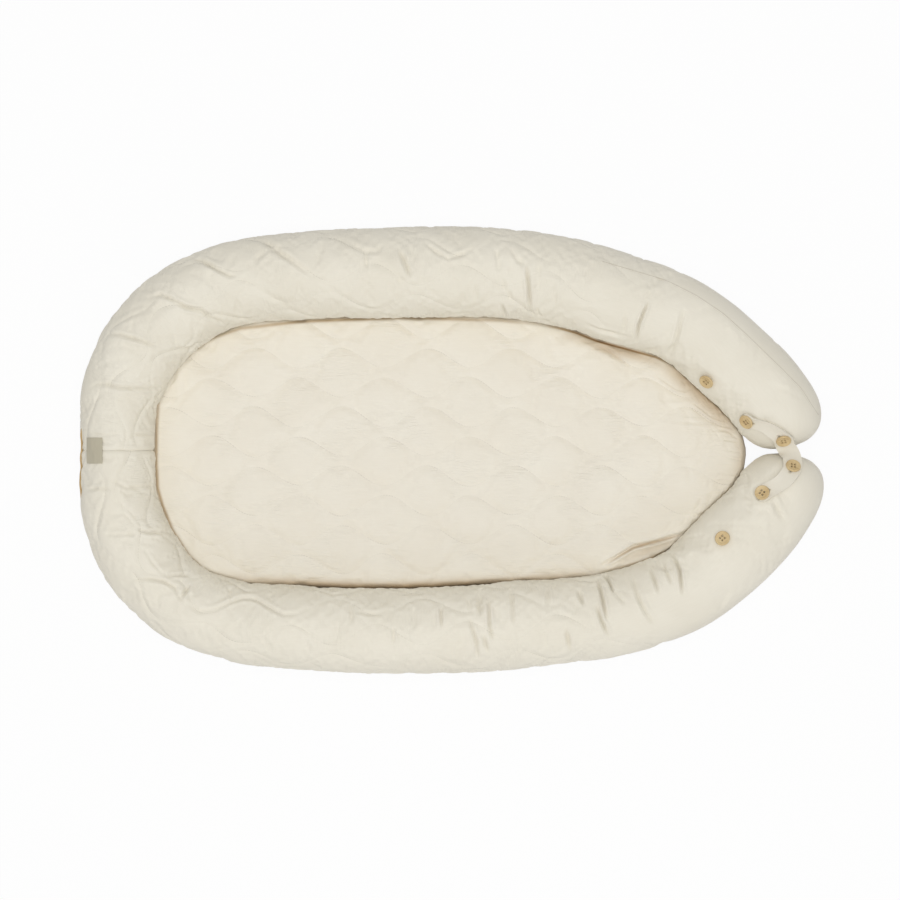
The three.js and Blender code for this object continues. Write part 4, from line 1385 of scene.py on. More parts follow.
@dataclass
class BolsterCover:
    """One half of the bolster's cover: quilted at the head and side, plain on the arm, rounded at its end."""

    side: Side
    row_spacing: float = 0.0012
    columns: int = 272
    cap_rows: int = 8
    dome_rows: int = 28
    seam_start: float = 0.00002
    quilt_depth: float = 0.0013
    side_depth: float = 0.0009
    quilt_width: float = 0.0065
    fade_start: float = 0.135
    fade_end: float = 0.265
    seam_depth: float = 0.0014
    seam_width: float = 0.0022
    blend_start: float = 0.19
    blend_end: float = 0.305
    zip_half_length: float = 0.042
    zip_low: float = -0.52
    zip_high: float = 0.12
    zip_end: float = 0.006
    zip_edge: float = 0.1
    zip_press: float = 0.0013
    sewn_start: float = 0.75
    seen_fade: float = 0.35
    under_start: float = 0.85
    under_fade: float = 0.25
    crease_start: float = 0.95
    crease_fade: float = 0.2
    inner_gain: float = 1.1
    inner_angle: float = math.radians(176)
    inner_half: float = 0.25
    inner_edge: float = 0.35
    pin_gain: float = 1.6
    arm_pressure: float = 0.25
    fold_share: float = 1.3
    head_slim: float = 0.0048
    head_slim_half: float = 0.036
    head_slim_edge: float = 0.05
    side_slim: float = 0.0
    side_slim_middle: float = -0.062
    side_slim_half: float = 0.10
    side_slim_edge: float = 0.06
    lump_height: float = 0.0008
    pucker_height: float = 0.0002
    pucker_width: float = 0.008
    ruffle_height: float = 0.0007
    thread_share: float = 0.4
    dent: float = 0.0012
    dent_width: float = 0.011
    held_width: float = 0.012
    end_length: float = 0.004
    filling: Filling = field(default_factory=Filling)
    folds: tuple[Fold, ...] = ()

    def __post_init__(self) -> None:
        """Lays out the rows and columns of the skin."""
        self.line = TubeLine(self.side)
        start = self.seam_start
        dome = self.line.length - SIZE.dome_length
        count = round((dome - start) / self.row_spacing / 4) * 4
        straight = np.linspace(start, dome, count + 1)
        turns = np.arange(1, self.dome_rows + 1) / self.dome_rows * np.pi / 2
        self.lengths = np.concatenate([
            np.full(self.cap_rows, start),
            straight,
            dome + SIZE.dome_length * np.sin(turns),
        ])
        self.cap_shares = np.ones(len(self.lengths))
        self.cap_shares[: self.cap_rows] = np.arange(self.cap_rows) / self.cap_rows
        self.angles = np.linspace(-np.pi / 2, 3 * np.pi / 2, self.columns + 1)

    def _quilting(self, length: np.ndarray, angle: np.ndarray) -> tuple[np.ndarray, np.ndarray, np.ndarray]:
        """Distance to the nearest sewn row, how deep it is, and how strongly the cloth is sewn.

        Args:
            length: Lengths along the tube's line.
            angle: Angles round the tube.

        Returns:
            Distance, depth and share for each point.
        """
        flat = self.line.cloth_place(length, angle)
        distance = QUILT.distance(flat[..., 0], flat[..., 1], 0.0, ROW_PHASES[self.side])
        place, _ = self.line.middle(length)
        arm = 1 - smooth((place[..., 0] - self.fade_start) / (self.fade_end - self.fade_start))
        head = 1 - smooth((place[..., 0] - HEAD_ROWS_END) / HEAD_ROWS_FADE)
        depth = self.side_depth + (self.quilt_depth - self.side_depth) * head
        drawn = QUILT.strength(flat[..., 0], flat[..., 1], 0.0, ROW_PHASES[self.side], self.side.value)
        return distance, depth * arm * drawn, arm

    def grid(self) -> ClothGrid:
        """Builds the skin as it is sewn, before the filling swells it.

        Returns:
            The skin.
        """
        length, angle = np.meshgrid(self.lengths, self.angles, indexing="ij")
        points = self.line.surface(length, angle)
        distance, depth, sewn = self._quilting(length, angle)
        radial = self.line.radial(length, angle)
        upper = smooth(np.sin(angle) + self.sewn_start)
        press = -depth * np.exp(-((distance / self.quilt_width) ** ROW_PULL_POWER)) * upper
        press = press - self.seam_depth * bell(length - self.lengths[0], self.seam_width)
        zipped = bump_box(length, self.zip_half_length, self.zip_end)
        zipped = zipped * smooth((angle - self.zip_low) / self.zip_edge)
        zipped = zipped * smooth((self.zip_high - angle) / self.zip_edge)
        press = press - self.zip_press * zipped
        inner = smooth(-self.inner_gain * np.cos(angle))
        place, _ = self.line.middle(length)
        at_head = bump_box(length, self.head_slim_half, self.head_slim_edge)
        at_side = bump_box(place[..., 0] - self.side_slim_middle, self.side_slim_half, self.side_slim_edge)
        press = press - self.head_slim * (at_head * inner)
        press = press - self.side_slim * (at_side * inner)
        points = points + radial * press[..., None]
        centre = points.mean(axis=1, keepdims=True)
        share = self.cap_shares[:, None, None]
        points = np.where(share < 1, centre + (points - centre) * share, points)
        points[..., 2] = np.maximum(points[..., 2], 0)
        return ClothGrid(points, self.line.cloth_place(length, angle), sewn * upper)

    def build(self) -> Piece:
        """Builds, fills, creases and finishes the cover.

        Returns:
            The finished cover.
        """
        grid = self.grid()
        coarse = grid.every_second().every_second()
        moved = self.filling.swell(coarse, self._pins()[::4, ::4], self._pressure()[::4, ::4])
        grid.points = grid.points + four_times_finer(moved)
        self._crease(grid)
        grid.points[..., 2] = np.maximum(grid.points[..., 2], 0)
        grid.points[:, -1] = grid.points[:, 0]
        piece = grid.to_piece(f"{self.side.label}_cover")
        dress(piece, f"{self.side.label}_bolster_cotton")
        self.bend(piece, "quilted_cotton", f"{self.side.label}_bolster_cover", f"{self.side.label}_arm_cover")
        return piece

    def bend(self, piece: Piece, slot: str, *nodes: str) -> None:
        """Bakes the piece's place into its mesh, hides the solids that it replaces and reports it.

        Args:
            piece: The piece.
            slot: Not used.
            *nodes: The solids that it replaces, if any.
        """
        root, _ = self.line.middle(np.array(self.line.arm_start))
        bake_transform(piece)
        if nodes:
            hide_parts(*nodes)
        report(piece, f"nest and {self.side.arm}")

    def _button_gaps(self, length: np.ndarray, angle: np.ndarray) -> list[np.ndarray]:
        """Distance of each point of the tube from each button's seat.

        Args:
            length: Lengths along the tube's line.
            angle: Angles round the tube.

        Returns:
            The distances from each button.
        """
        points = self.line.surface(length, angle)
        seats = [self.line.surface(*place) for place in button_places(self.side)]
        return [np.linalg.norm(points - seat, axis=-1) for seat in seats]

    def _pins(self) -> np.ndarray:
        """How fast each point is held: at the sewn rows, the head seam, the underside and the buttons.

        Returns:
            From 0, free, to 1, sewn fast, for each point.
        """
        length, angle = np.meshgrid(self.lengths, self.angles, indexing="ij")
        distance, _, sewn = self._quilting(length, angle)
        rows = ROW_HOLD * bell(distance, ROW_HOLD_WIDTH) * smooth(sewn * self.pin_gain)
        seam = np.where(length < self.lengths[0] + self.end_length, 1.0, 0.0)
        under = 1 - smooth((np.sin(angle) + self.under_start) / self.under_fade)
        held = np.maximum(np.maximum(rows, seam), under)
        for gap in self._button_gaps(length, angle):
            held = np.maximum(held, bell(gap, self.held_width))
        return np.clip(held, 0, 1)

    def _pressure(self) -> np.ndarray:
        """Share of the filling's pressure on each point, less on the plain arm.

        Returns:
            The share for each point.
        """
        length, angle = np.meshgrid(self.lengths, self.angles, indexing="ij")
        _, _, sewn = self._quilting(length, angle)
        return self.arm_pressure + (1 - self.arm_pressure) * sewn

    def _crease(self, grid: ClothGrid) -> None:
        """Presses the folds, puckers and fine wrinkles into the filled skin.

        Args:
            grid: The skin, which is changed.
        """
        length, angle = np.meshgrid(self.lengths, self.angles, indexing="ij")
        distance, depth, sewn = self._quilting(length, angle)
        radial = self.line.radial(length, angle)
        pixels = Sight.pixels(grid.points)
        seen = smooth((np.sin(angle) + self.seen_fade) / self.seen_fade)
        folded = sum((fold.press(pixels) * seen for fold in self.folds), np.zeros(length.shape))
        # Painted shade in the bottoms of the deep folds, on the cover's upper side.
        grid.shade = seen * np.max([fold.shade(pixels) for fold in self.folds], axis=0)
        lumps = noise_field(grid.points, 0.06, 3.1)
        puckers = noise_field(grid.flat, 0.0075, 8.7, (1, 3.2, 1))
        ruffles = noise_field(grid.flat, 0.0055, 5.3, (1, 4.0, 1))
        inner = bump_box(angle - self.inner_angle, self.inner_half, self.inner_edge)
        press = folded * self.fold_share + self.lump_height * lumps
        press = press + self.pucker_height * puckers * bell(distance, self.pucker_width) * sewn
        press = press + self.ruffle_height * ruffles * inner
        press = press - self.thread_share * depth * bell(distance, THREAD_WIDTH)
        for gap in self._button_gaps(length, angle):
            press = press - self.dent * bell(gap, self.dent_width)
        body = self.cap_shares[:, None] * smooth((length - self.lengths[0]) / self.end_length)
        upper = smooth((np.sin(angle) + self.crease_start) / self.crease_fade)
        grid.points = grid.points + radial * (press * body * upper)[..., None]


# Buttons and the strap


@dataclass(frozen=True)
class ButtonLayout:
    """Where the three buttons of an arm sit along the line and round the tube."""

    tip_setback: float
    angles: Triple
    root_spacing: float = 0.0775
    tip_spacing: float = 0.047


BUTTON_LAYOUTS = {
    Side.LEFT: ButtonLayout(0.013, (143, 142, 105)),
    Side.RIGHT: ButtonLayout(0.017, (115, 117, 90)),
}


def button_places(side: Side) -> list[tuple[float, float]]:
    """Length and angle of the buttons of one arm, from its root to its tip.

    Args:
        side: Which arm.

    Returns:
        The places.
    """
    layout = BUTTON_LAYOUTS[side]
    tip = TubeLine(side).length - layout.tip_setback
    middle = tip - layout.tip_spacing
    lengths = (middle - layout.root_spacing, middle, tip)
    return [(length, math.radians(angle)) for length, angle in zip(lengths, layout.angles)]


def evened(path: list[Vector], rounds: int) -> list[Vector]:
    """Smooths a path and keeps its ends.

    Args:
        path: The path's points.
        rounds: How often each point is drawn towards its neighbours.

    Returns:
        The smoother path.
    """
    for _ in range(rounds):
        inner = [(a + b * 2 + c) / 4 for a, b, c in zip(path[:-2], path[1:-1], path[2:])]
        path = [path[0], *inner, path[-1]]
    return path


def tube_along(name: str, path: list[Vector], radius: float, sides: int, closed: bool = False) -> Piece:
    """Sweeps a round section along a path.

    Args:
        name: Name of the piece.
        path: Points of the middle line.
        radius: Radius of the section.
        sides: Number of sides of the section.
        closed: True where the path is a loop.

    Returns:
        The swept piece.
    """
    line = [Vector(point) for point in path]
    if closed:
        line.append(line[0].copy())
    count = len(line)
    points = np.zeros((count, sides + 1, 3))
    flat = np.zeros((count, sides + 1, 2))
    along = 0.0
    lift = None
    for i, point in enumerate(line):
        after = line[1] if closed and i == count - 1 else line[min(i + 1, count - 1)]
        before = line[count - 2] if closed and i == 0 else line[max(i - 1, 0)]
        ahead = (after - before).normalized()
        if lift is None:
            lift = ahead.orthogonal().normalized()
        lift = (lift - ahead * lift.dot(ahead)).normalized()
        across = ahead.cross(lift)
        along += (point - line[max(i - 1, 0)]).length
        for j in range(sides + 1):
            turn = 2 * math.pi * (j % sides) / sides
            points[i, j] = point + (lift * math.cos(turn) + across * math.sin(turn)) * radius
            flat[i, j] = (along, j / sides * 2 * math.pi * radius)
    if closed:
        points[-1] = points[0]
    else:
        points = np.concatenate([np.repeat(np.array(line[0])[None, None], sides + 1, 1), points,
                                 np.repeat(np.array(line[-1])[None, None], sides + 1, 1)])
        flat = np.concatenate([flat[:1], flat, flat[-1:]])
    return ClothGrid(points, flat, np.zeros(points.shape[:2])).to_piece(name)


def join_pieces(name: str, pieces: list[Piece]) -> Piece:
    """Joins the meshes of several pieces, which are removed, into one new piece.

    Args:
        name: Name of the new piece.
        pieces: The pieces to join.

    Returns:
        The new piece.
    """
    bm = bmesh.new()
    for piece in pieces:
        bm.from_mesh(piece.data)
    for piece in pieces:
        mesh = piece.data
        bpy.data.objects.remove(piece)
        bpy.data.meshes.remove(mesh)
    return finish_mesh(name, bm)


# Mattress and base


class NestOutline:
    """Long edges of the pieces that lie between the two sides of the bolster."""

    mattress_clearance = 0.001
    mattress_length = 0.714
    foot_radius = 0.149
    foot_offset = -0.006
    base_setback = 0.002
    base_tuck = 0.038
    base_free_start = 0.2144
    base_free_length = 0.025

    def __init__(self) -> None:
        """Lays the inner edges of both sides."""
        self.lines = {side: TubeLine(side) for side in Side}
        head = self.lines[Side.LEFT].samples[0]
        self.head = float(head[0] + head[2] / 2 + self.mattress_clearance)
        self.tip = self.head + self.mattress_length
        self.foot_middle = self.tip - self.foot_radius
        self.foot_y = self.foot_offset + SIZE.origin_shift[1]

    def inner(self, side: Side, x: np.ndarray, reach: float) -> np.ndarray:
        """Inner edge of one side seen from above, at places along the lounger.

        Args:
            side: Which half of the bolster.
            x: Places along the lounger.
            reach: Distance from the widest line of the tube.

        Returns:
            The edge's y at each place.
        """
        line = self.lines[side]
        lengths = np.linspace(0.0005, line.length, 900)
        places, widths = line.middle(lengths)
        edge = places - line.outward(lengths) * (widths / 2 + reach)[:, None]
        return np.interp(x, np.maximum.accumulate(edge[:, 0]), edge[:, 1])

    def edges(self, x: np.ndarray, inset: float = 0.0) -> tuple[np.ndarray, np.ndarray]:
        """Right and left edge of the mattress, moved in by an inset, or out where it is below zero.

        Args:
            x: Places along the lounger.
            inset: How far both edges move in.

        Returns:
            The y of both edges.
        """
        radius = self.foot_radius - inset
        past = x - self.foot_middle
        half = np.where(past > 0, np.sqrt(np.maximum(0, radius * radius - past * past)), SIZE.width)
        reach = self.mattress_clearance + inset
        low = np.maximum(self.inner(Side.RIGHT, x, reach), self.foot_y - half)
        high = np.minimum(self.inner(Side.LEFT, x, reach), self.foot_y + half)
        return low, high

    def base_edges(self, x: np.ndarray) -> tuple[np.ndarray, np.ndarray]:
        """Right and left edge of the base, which is sewn under the sides and free at the foot.

        Args:
            x: Places along the lounger.

        Returns:
            The y of both edges.
        """
        free = smooth((x - self.base_free_start) / self.base_free_length)
        low, high = self.edges(np.maximum(x, self.head), self.base_setback)
        sewn_low = self.inner(Side.RIGHT, x, -self.base_tuck)
        sewn_high = self.inner(Side.LEFT, x, -self.base_tuck)
        return sewn_low + (low - sewn_low) * free, sewn_high + (high - sewn_high) * free


@dataclass
class Pad:
    """A flat closed pad between the sides: a shaped upper skin and a flatter lower one, joined in a seam."""

    name: str
    bottom: float
    seam: float
    top: float
    roll: float
    finish: str
    slot: str
    nodes: tuple[str, ...]
    body: str
    fill: float
    inset: float = 0.0
    is_base: bool = False
    steps: int = 172
    columns: int = 84
    quilt_depth: float = 0.0
    quilt_width: float = 0.0085
    filling: Filling | None = None
    folds: tuple[Fold, ...] = ()
    # Bands of painted shade, tan and brown, along the gaps and at the foot where the pad meets the bolster.
    hems: tuple[Hem, ...] = ()
    head_reach: float = 0.0
    foot_reach: float = 0.0
    lower_share: int = 1
    edge_crowding: float = 0.25
    crown: float = 0.0012
    crown_reach: float = 0.10
    edge_hold_width: float = 0.004
    wrinkle_height: float = 0.00035
    lump_height: float = 0.0006
    thread_depth: float = 0.0008
    # Painted shade along the pad's side: how dark, and how far from the edge it starts and fades.
    side_shade: float = 0.55
    shade_start: float = 0.0015
    shade_fade: float = 0.0055
    head_fade: float = 0.15
    edge_calm: float = 0.012
    foot_calm: float = 0.05
    foot_share: float = 0.5

    def __post_init__(self) -> None:
        """Lays out the pad's stations from the head to the tip of the round foot."""
        self.outline = NestOutline()
        self.outline.foot_radius += self.foot_reach
        start = self.outline.head + self.inset - (self.outline.base_tuck if self.is_base else 0)
        start -= self.head_reach
        reach = self.outline.foot_radius - self.inset
        # From a twelfth of a turn round the foot the stations are spaced by angle
        first_turn = math.pi / 6
        bend = self.outline.foot_middle + reach * 0.5
        straight = np.linspace(start, bend, self.steps * 3 // 4 + 1)
        turns = np.linspace(first_turn, math.pi / 2, self.steps - len(straight) + 2)[1:]
        tip = self.outline.foot_middle + reach * np.sin(turns)
        self.places = np.concatenate([straight, tip])

    def _plan(self) -> tuple[np.ndarray, np.ndarray, np.ndarray]:
        """Places of the grid seen from above, and their distance from the outline.

        Returns:
            The x, the y and the distance of each point.
        """
        if self.is_base:
            low, high = self.outline.base_edges(self.places)
        else:
            moved = self.head_reach * (1 - smooth((self.places - self.places[0]) / self.head_fade))
            low, high = self.outline.edges(self.places + moved, self.inset)
        crowded = (1 - np.cos(np.linspace(0, np.pi, self.columns + 1))) / 2
        even = np.linspace(0, 1, self.columns + 1)
        shares = self.edge_crowding * crowded + (1 - self.edge_crowding) * even
        y = low[:, None] + (high - low)[:, None] * shares
        x = np.repeat(self.places[:, None], self.columns + 1, 1)
        border = np.concatenate([
            np.stack([self.places, low], 1),
            np.stack([self.places, high], 1)[::-1],
        ])
        border = np.concatenate([border, border[:1]])
        distance = np.full(x.shape, FAR)
        for start, end in zip(border[:-1], border[1:]):
            side = end - start
            square = max(float(side @ side), 1e-12)
            t = np.clip(((x - start[0]) * side[0] + (y - start[1]) * side[1]) / square, 0, 1)
            gap = np.hypot(x - start[0] - t * side[0], y - start[1] - t * side[1])
            distance = np.minimum(distance, gap)
        return x, y, distance

    def _quilting(self, flat: np.ndarray) -> tuple[np.ndarray, np.ndarray]:
        """Distance from the nearest sewn row, and how strongly it draws the cloth in.

        Args:
            flat: Places on the flat cloth.

        Returns:
            Distance and strength for each point.
        """
        x, y = flat[..., 0], flat[..., 1]
        drawn = QUILT.strength(x, y, MATTRESS_ROW_START, MATTRESS_PHASE, 1)
        return QUILT.distance(x, y, MATTRESS_ROW_START, MATTRESS_PHASE), drawn

    def grid(self) -> ClothGrid:
        """Builds the pad before it is filled.

        Returns:
            The pad's skin.
        """
        x, y, distance = self._plan()
        share = np.clip(distance / self.roll, 0, 1)
        rise = np.sqrt(1 - (1 - share) ** 2)
        sewn, drawn = self._quilting(QUILT.wander(np.stack([x, y], -1)))
        pull = np.exp(-((sewn / self.quilt_width) ** ROW_PULL_POWER))
        press = self.quilt_depth * drawn * pull * smooth(share)
        crown = self.crown * smooth(distance / self.crown_reach)
        top = self.seam + (self.top - self.seam + crown) * rise - press
        low_share = np.clip(distance / (self.roll / 2), 0, 1)
        bottom = self.seam - (self.seam - self.bottom) * np.sqrt(1 - (1 - low_share) ** 2)
        upper = np.stack([x, y, top], -1)
        lower = np.stack([x, y, bottom], -1)[:, ::-1][:, :: self.lower_share]
        points = np.concatenate([upper, lower[:, 1:]], axis=1)
        flat = QUILT.wander(points[..., :2])
        inner = smooth(distance / self.edge_calm)
        past = x - self.outline.foot_middle - self.foot_calm
        inner = np.maximum(inner, self.foot_share * smooth(past / self.foot_calm))
        mask = np.concatenate([inner, np.zeros(lower.shape[:2])[:, 1:]], axis=1)
        return ClothGrid(points, flat, mask)

    def _swell(self, grid: ClothGrid) -> None:
        """Fills the pad by cloth simulation on every fourth row and column.

        Args:
            grid: The skin, which is changed.
        """
        x, y, distance = self._plan()
        sewn, _ = self._quilting(QUILT.wander(np.stack([x, y], -1)))
        upper = np.maximum(ROW_HOLD * bell(sewn, ROW_HOLD_WIDTH), bell(distance, self.edge_hold_width))
        under = grid.points.shape[1] - upper.shape[1]
        pins = np.concatenate([upper, np.ones((len(upper), under))], axis=1)
        press = np.concatenate([np.ones_like(upper), np.zeros((len(upper), under))], axis=1)
        coarse = grid.every_second().every_second()
        moved = self.filling.swell(coarse, pins[::4, ::4], press[::4, ::4])
        grid.points = grid.points + four_times_finer(moved)

    def _side_shade(self) -> np.ndarray:
        """How much painted shade darkens the pad's straight side, above its seam and below it.

        Returns:
            The shade of each point.
        """
        _, _, distance = self._plan()
        upper = self.side_shade * (1 - smooth((distance - self.shade_start) / self.shade_fade))
        lower = upper[:, ::-1][:, :: self.lower_share]
        return np.concatenate([upper, lower[:, 1:]], axis=1)

    def _crease(self, grid: ClothGrid) -> None:
        """Presses puckers, wrinkles and folds into the upper skin.

        Args:
            grid: The skin, which is changed.
        """
        sewn, drawn = self._quilting(grid.flat)
        wrinkles = noise_field(grid.flat, 0.0052, 6.1, (5, 1, 1))
        calm = noise_field(grid.flat, 0.035, 4.4, (1.6, 1, 1))
        lumps = noise_field(grid.flat, 0.06, 1.7)
        press = self.wrinkle_height * wrinkles * smooth(calm * 2.5 + 0.2) + self.lump_height * lumps
        press = press - self.thread_depth * drawn * bell(sewn, THREAD_WIDTH)
        pixels = Sight.pixels(grid.points)
        press = press + sum((fold.press(pixels) for fold in self.folds), np.zeros(sewn.shape))
        grid.points[..., 2] = grid.points[..., 2] + press * grid.sewn
        # Painted shade: tan and brown bands along the gaps on the upper skin, and the side's shade on both
        # skins.
        if self.hems:
            bands = np.max([shade_band.shade(pixels) for shade_band in self.hems], axis=0)
            bands[:, self.columns + 1:] = 0
            grid.shade = np.maximum(bands, self._side_shade())

    def build(self) -> None:
        grid = self.grid()
        if self.filling:
            self._swell(grid)
        if self.quilt_depth:
            self._crease(grid)
        grid.points[..., 2] = np.maximum(grid.points[..., 2], self.bottom)
        grid.points[:, -1] = grid.points[:, 0]
        piece = grid.to_piece(self.name)
        declare(piece, self.finish, self.slot, self.body, *self.nodes)


# Small parts on the arms


@dataclass
class Button:
    """A turned wooden button with four holes, and the thread that holds it."""

    name: str
    seat: Seat
    body: str
    nodes: tuple[str, str]
    radius: float = 0.009
    thickness: float = 0.0032
    rim: float = 0.0015
    dish: float = 0.0009
    hole_radius: float = 0.0013
    pitch: float = 0.0039
    lift: float = 0.0027
    segments: int = 64
    strand_radius: float = 0.00019
    strand_gap: float = 0.00020
    strand_rise: float = 0.00062
    shank_radius: float = 0.0019
    winding_turns: int = 6
    turn_steps: int = 16

    def _turned(self) -> Piece:
        """Spins the button's profile and rounds its edges.

        Returns:
            The button without its holes, on the ground.
        """
        top = self.thickness
        profile = [
            (0.0, 0.0),
            (self.radius - self.rim, 0.0),
            (self.radius - self.rim / 4, top * 0.16),
            (self.radius, top * 0.48),
            (self.radius - self.rim / 6, top * 0.82),
            (self.radius - self.rim * 0.55, top),
            (self.radius - self.rim * 1.15, top * 0.97),
            (self.radius - self.rim * 1.9, top - self.dish),
            (self.radius * 0.4, top - self.dish * 1.1),
            (0.0, top - self.dish * 1.1),
        ]
        bm = bmesh.new()
        verts = [bm.verts.new((x, 0, z)) for x, z in profile]
        edges = [bm.edges.new(pair) for pair in zip(verts[:-1], verts[1:])]
        bmesh.ops.spin(bm, geom=verts + edges, cent=(0, 0, 0), axis=(0, 0, 1), angle=2 * math.pi,
                       steps=self.segments, use_merge=True)
        bmesh.ops.remove_doubles(bm, verts=bm.verts[:], dist=MERGE_DISTANCE)
        bmesh.ops.recalc_face_normals(bm, faces=bm.faces[:])
        return finish_mesh(self.name, bm)

    def _drill(self, piece: Piece) -> None:
        """Cuts the four holes.

        Args:
            piece: The turned button.
        """
        bm = bmesh.new()
        for x, y in self._hole_places():
            bmesh.ops.create_cone(bm, cap_ends=True, segments=20, radius1=self.hole_radius,
                                  radius2=self.hole_radius, depth=self.thickness * 3,
                                  matrix=Matrix.Translation((x, y, self.thickness / 2)))
        drill = finish_mesh("drill", bm)
        cut = piece.modifiers.new("holes", "BOOLEAN")
        cut.object = drill
        cut.operation = "DIFFERENCE"
        cut.solver = "EXACT"
        apply_modifiers(piece)
        piece.data.shade_smooth()
        piece.data.set_sharp_from_angle(angle=math.radians(35))
        bpy.data.objects.remove(drill)

    def _hole_places(self) -> list[tuple[float, float]]:
        """Middles of the four holes."""
        half = self.pitch / 2
        return [(-half, -half), (-half, half), (half, -half), (half, half)]

    def build(self) -> None:
        """Builds the button and its thread and sets both on their seat."""
        piece = self._turned()
        self._drill(piece)
        piece.data.transform(self.seat.matrix(self.lift))
        declare(piece, "button_wood", "wood", self.body, self.nodes[0])
        thread = self._thread()
        thread.data.transform(self.seat.matrix(0))
        declare(thread, "button_thread", "thread", self.body, self.nodes[1])

    def _thread(self) -> Piece:
        """Winds the shank and sews two bars of two strands through the holes.

        Returns:
            The thread, on the ground.
        """
        strands = []
        half = self.pitch / 2
        floor = self.lift + self.thickness - self.dish
        for bar in (-1, 1):
            for strand in (-1, 1):
                y = bar * half + strand * self.strand_gap
                path = [Vector((-half, y * 0.9, self.lift * 0.6)), Vector((-half, y, floor))]
                for step in range(1, 8):
                    turn = math.pi * step / 8
                    rise = self.strand_rise * math.sin(turn) ** 0.7
                    path.append(Vector((-half * math.cos(turn), y, floor + rise)))
                path += [Vector((half, y, floor)), Vector((half, y * 0.9, self.lift * 0.6))]
                strands.append(tube_along("strand", path, self.strand_radius, 8))
        winding = []
        steps = self.winding_turns * self.turn_steps
        for step in range(steps + 1):
            turn = 2 * math.pi * step / self.turn_steps
            z = 0.0003 + (self.lift - 0.0007) * step / steps
            across = Vector((math.cos(turn), math.sin(turn), 0)) * self.shank_radius
            winding.append(across + Vector((0, 0, z)))
        strands.append(tube_along("shank_winding", winding, 0.0003, 8))
        core = [Vector((0, 0, 0.0002)), Vector((0, 0, self.lift * 0.5)), Vector((0, 0, self.lift - 0.0002))]
        strands.append(tube_along("shank_core", core, self.shank_radius - 0.0001, 16))
        return join_pieces(f"{self.name}_thread", strands)


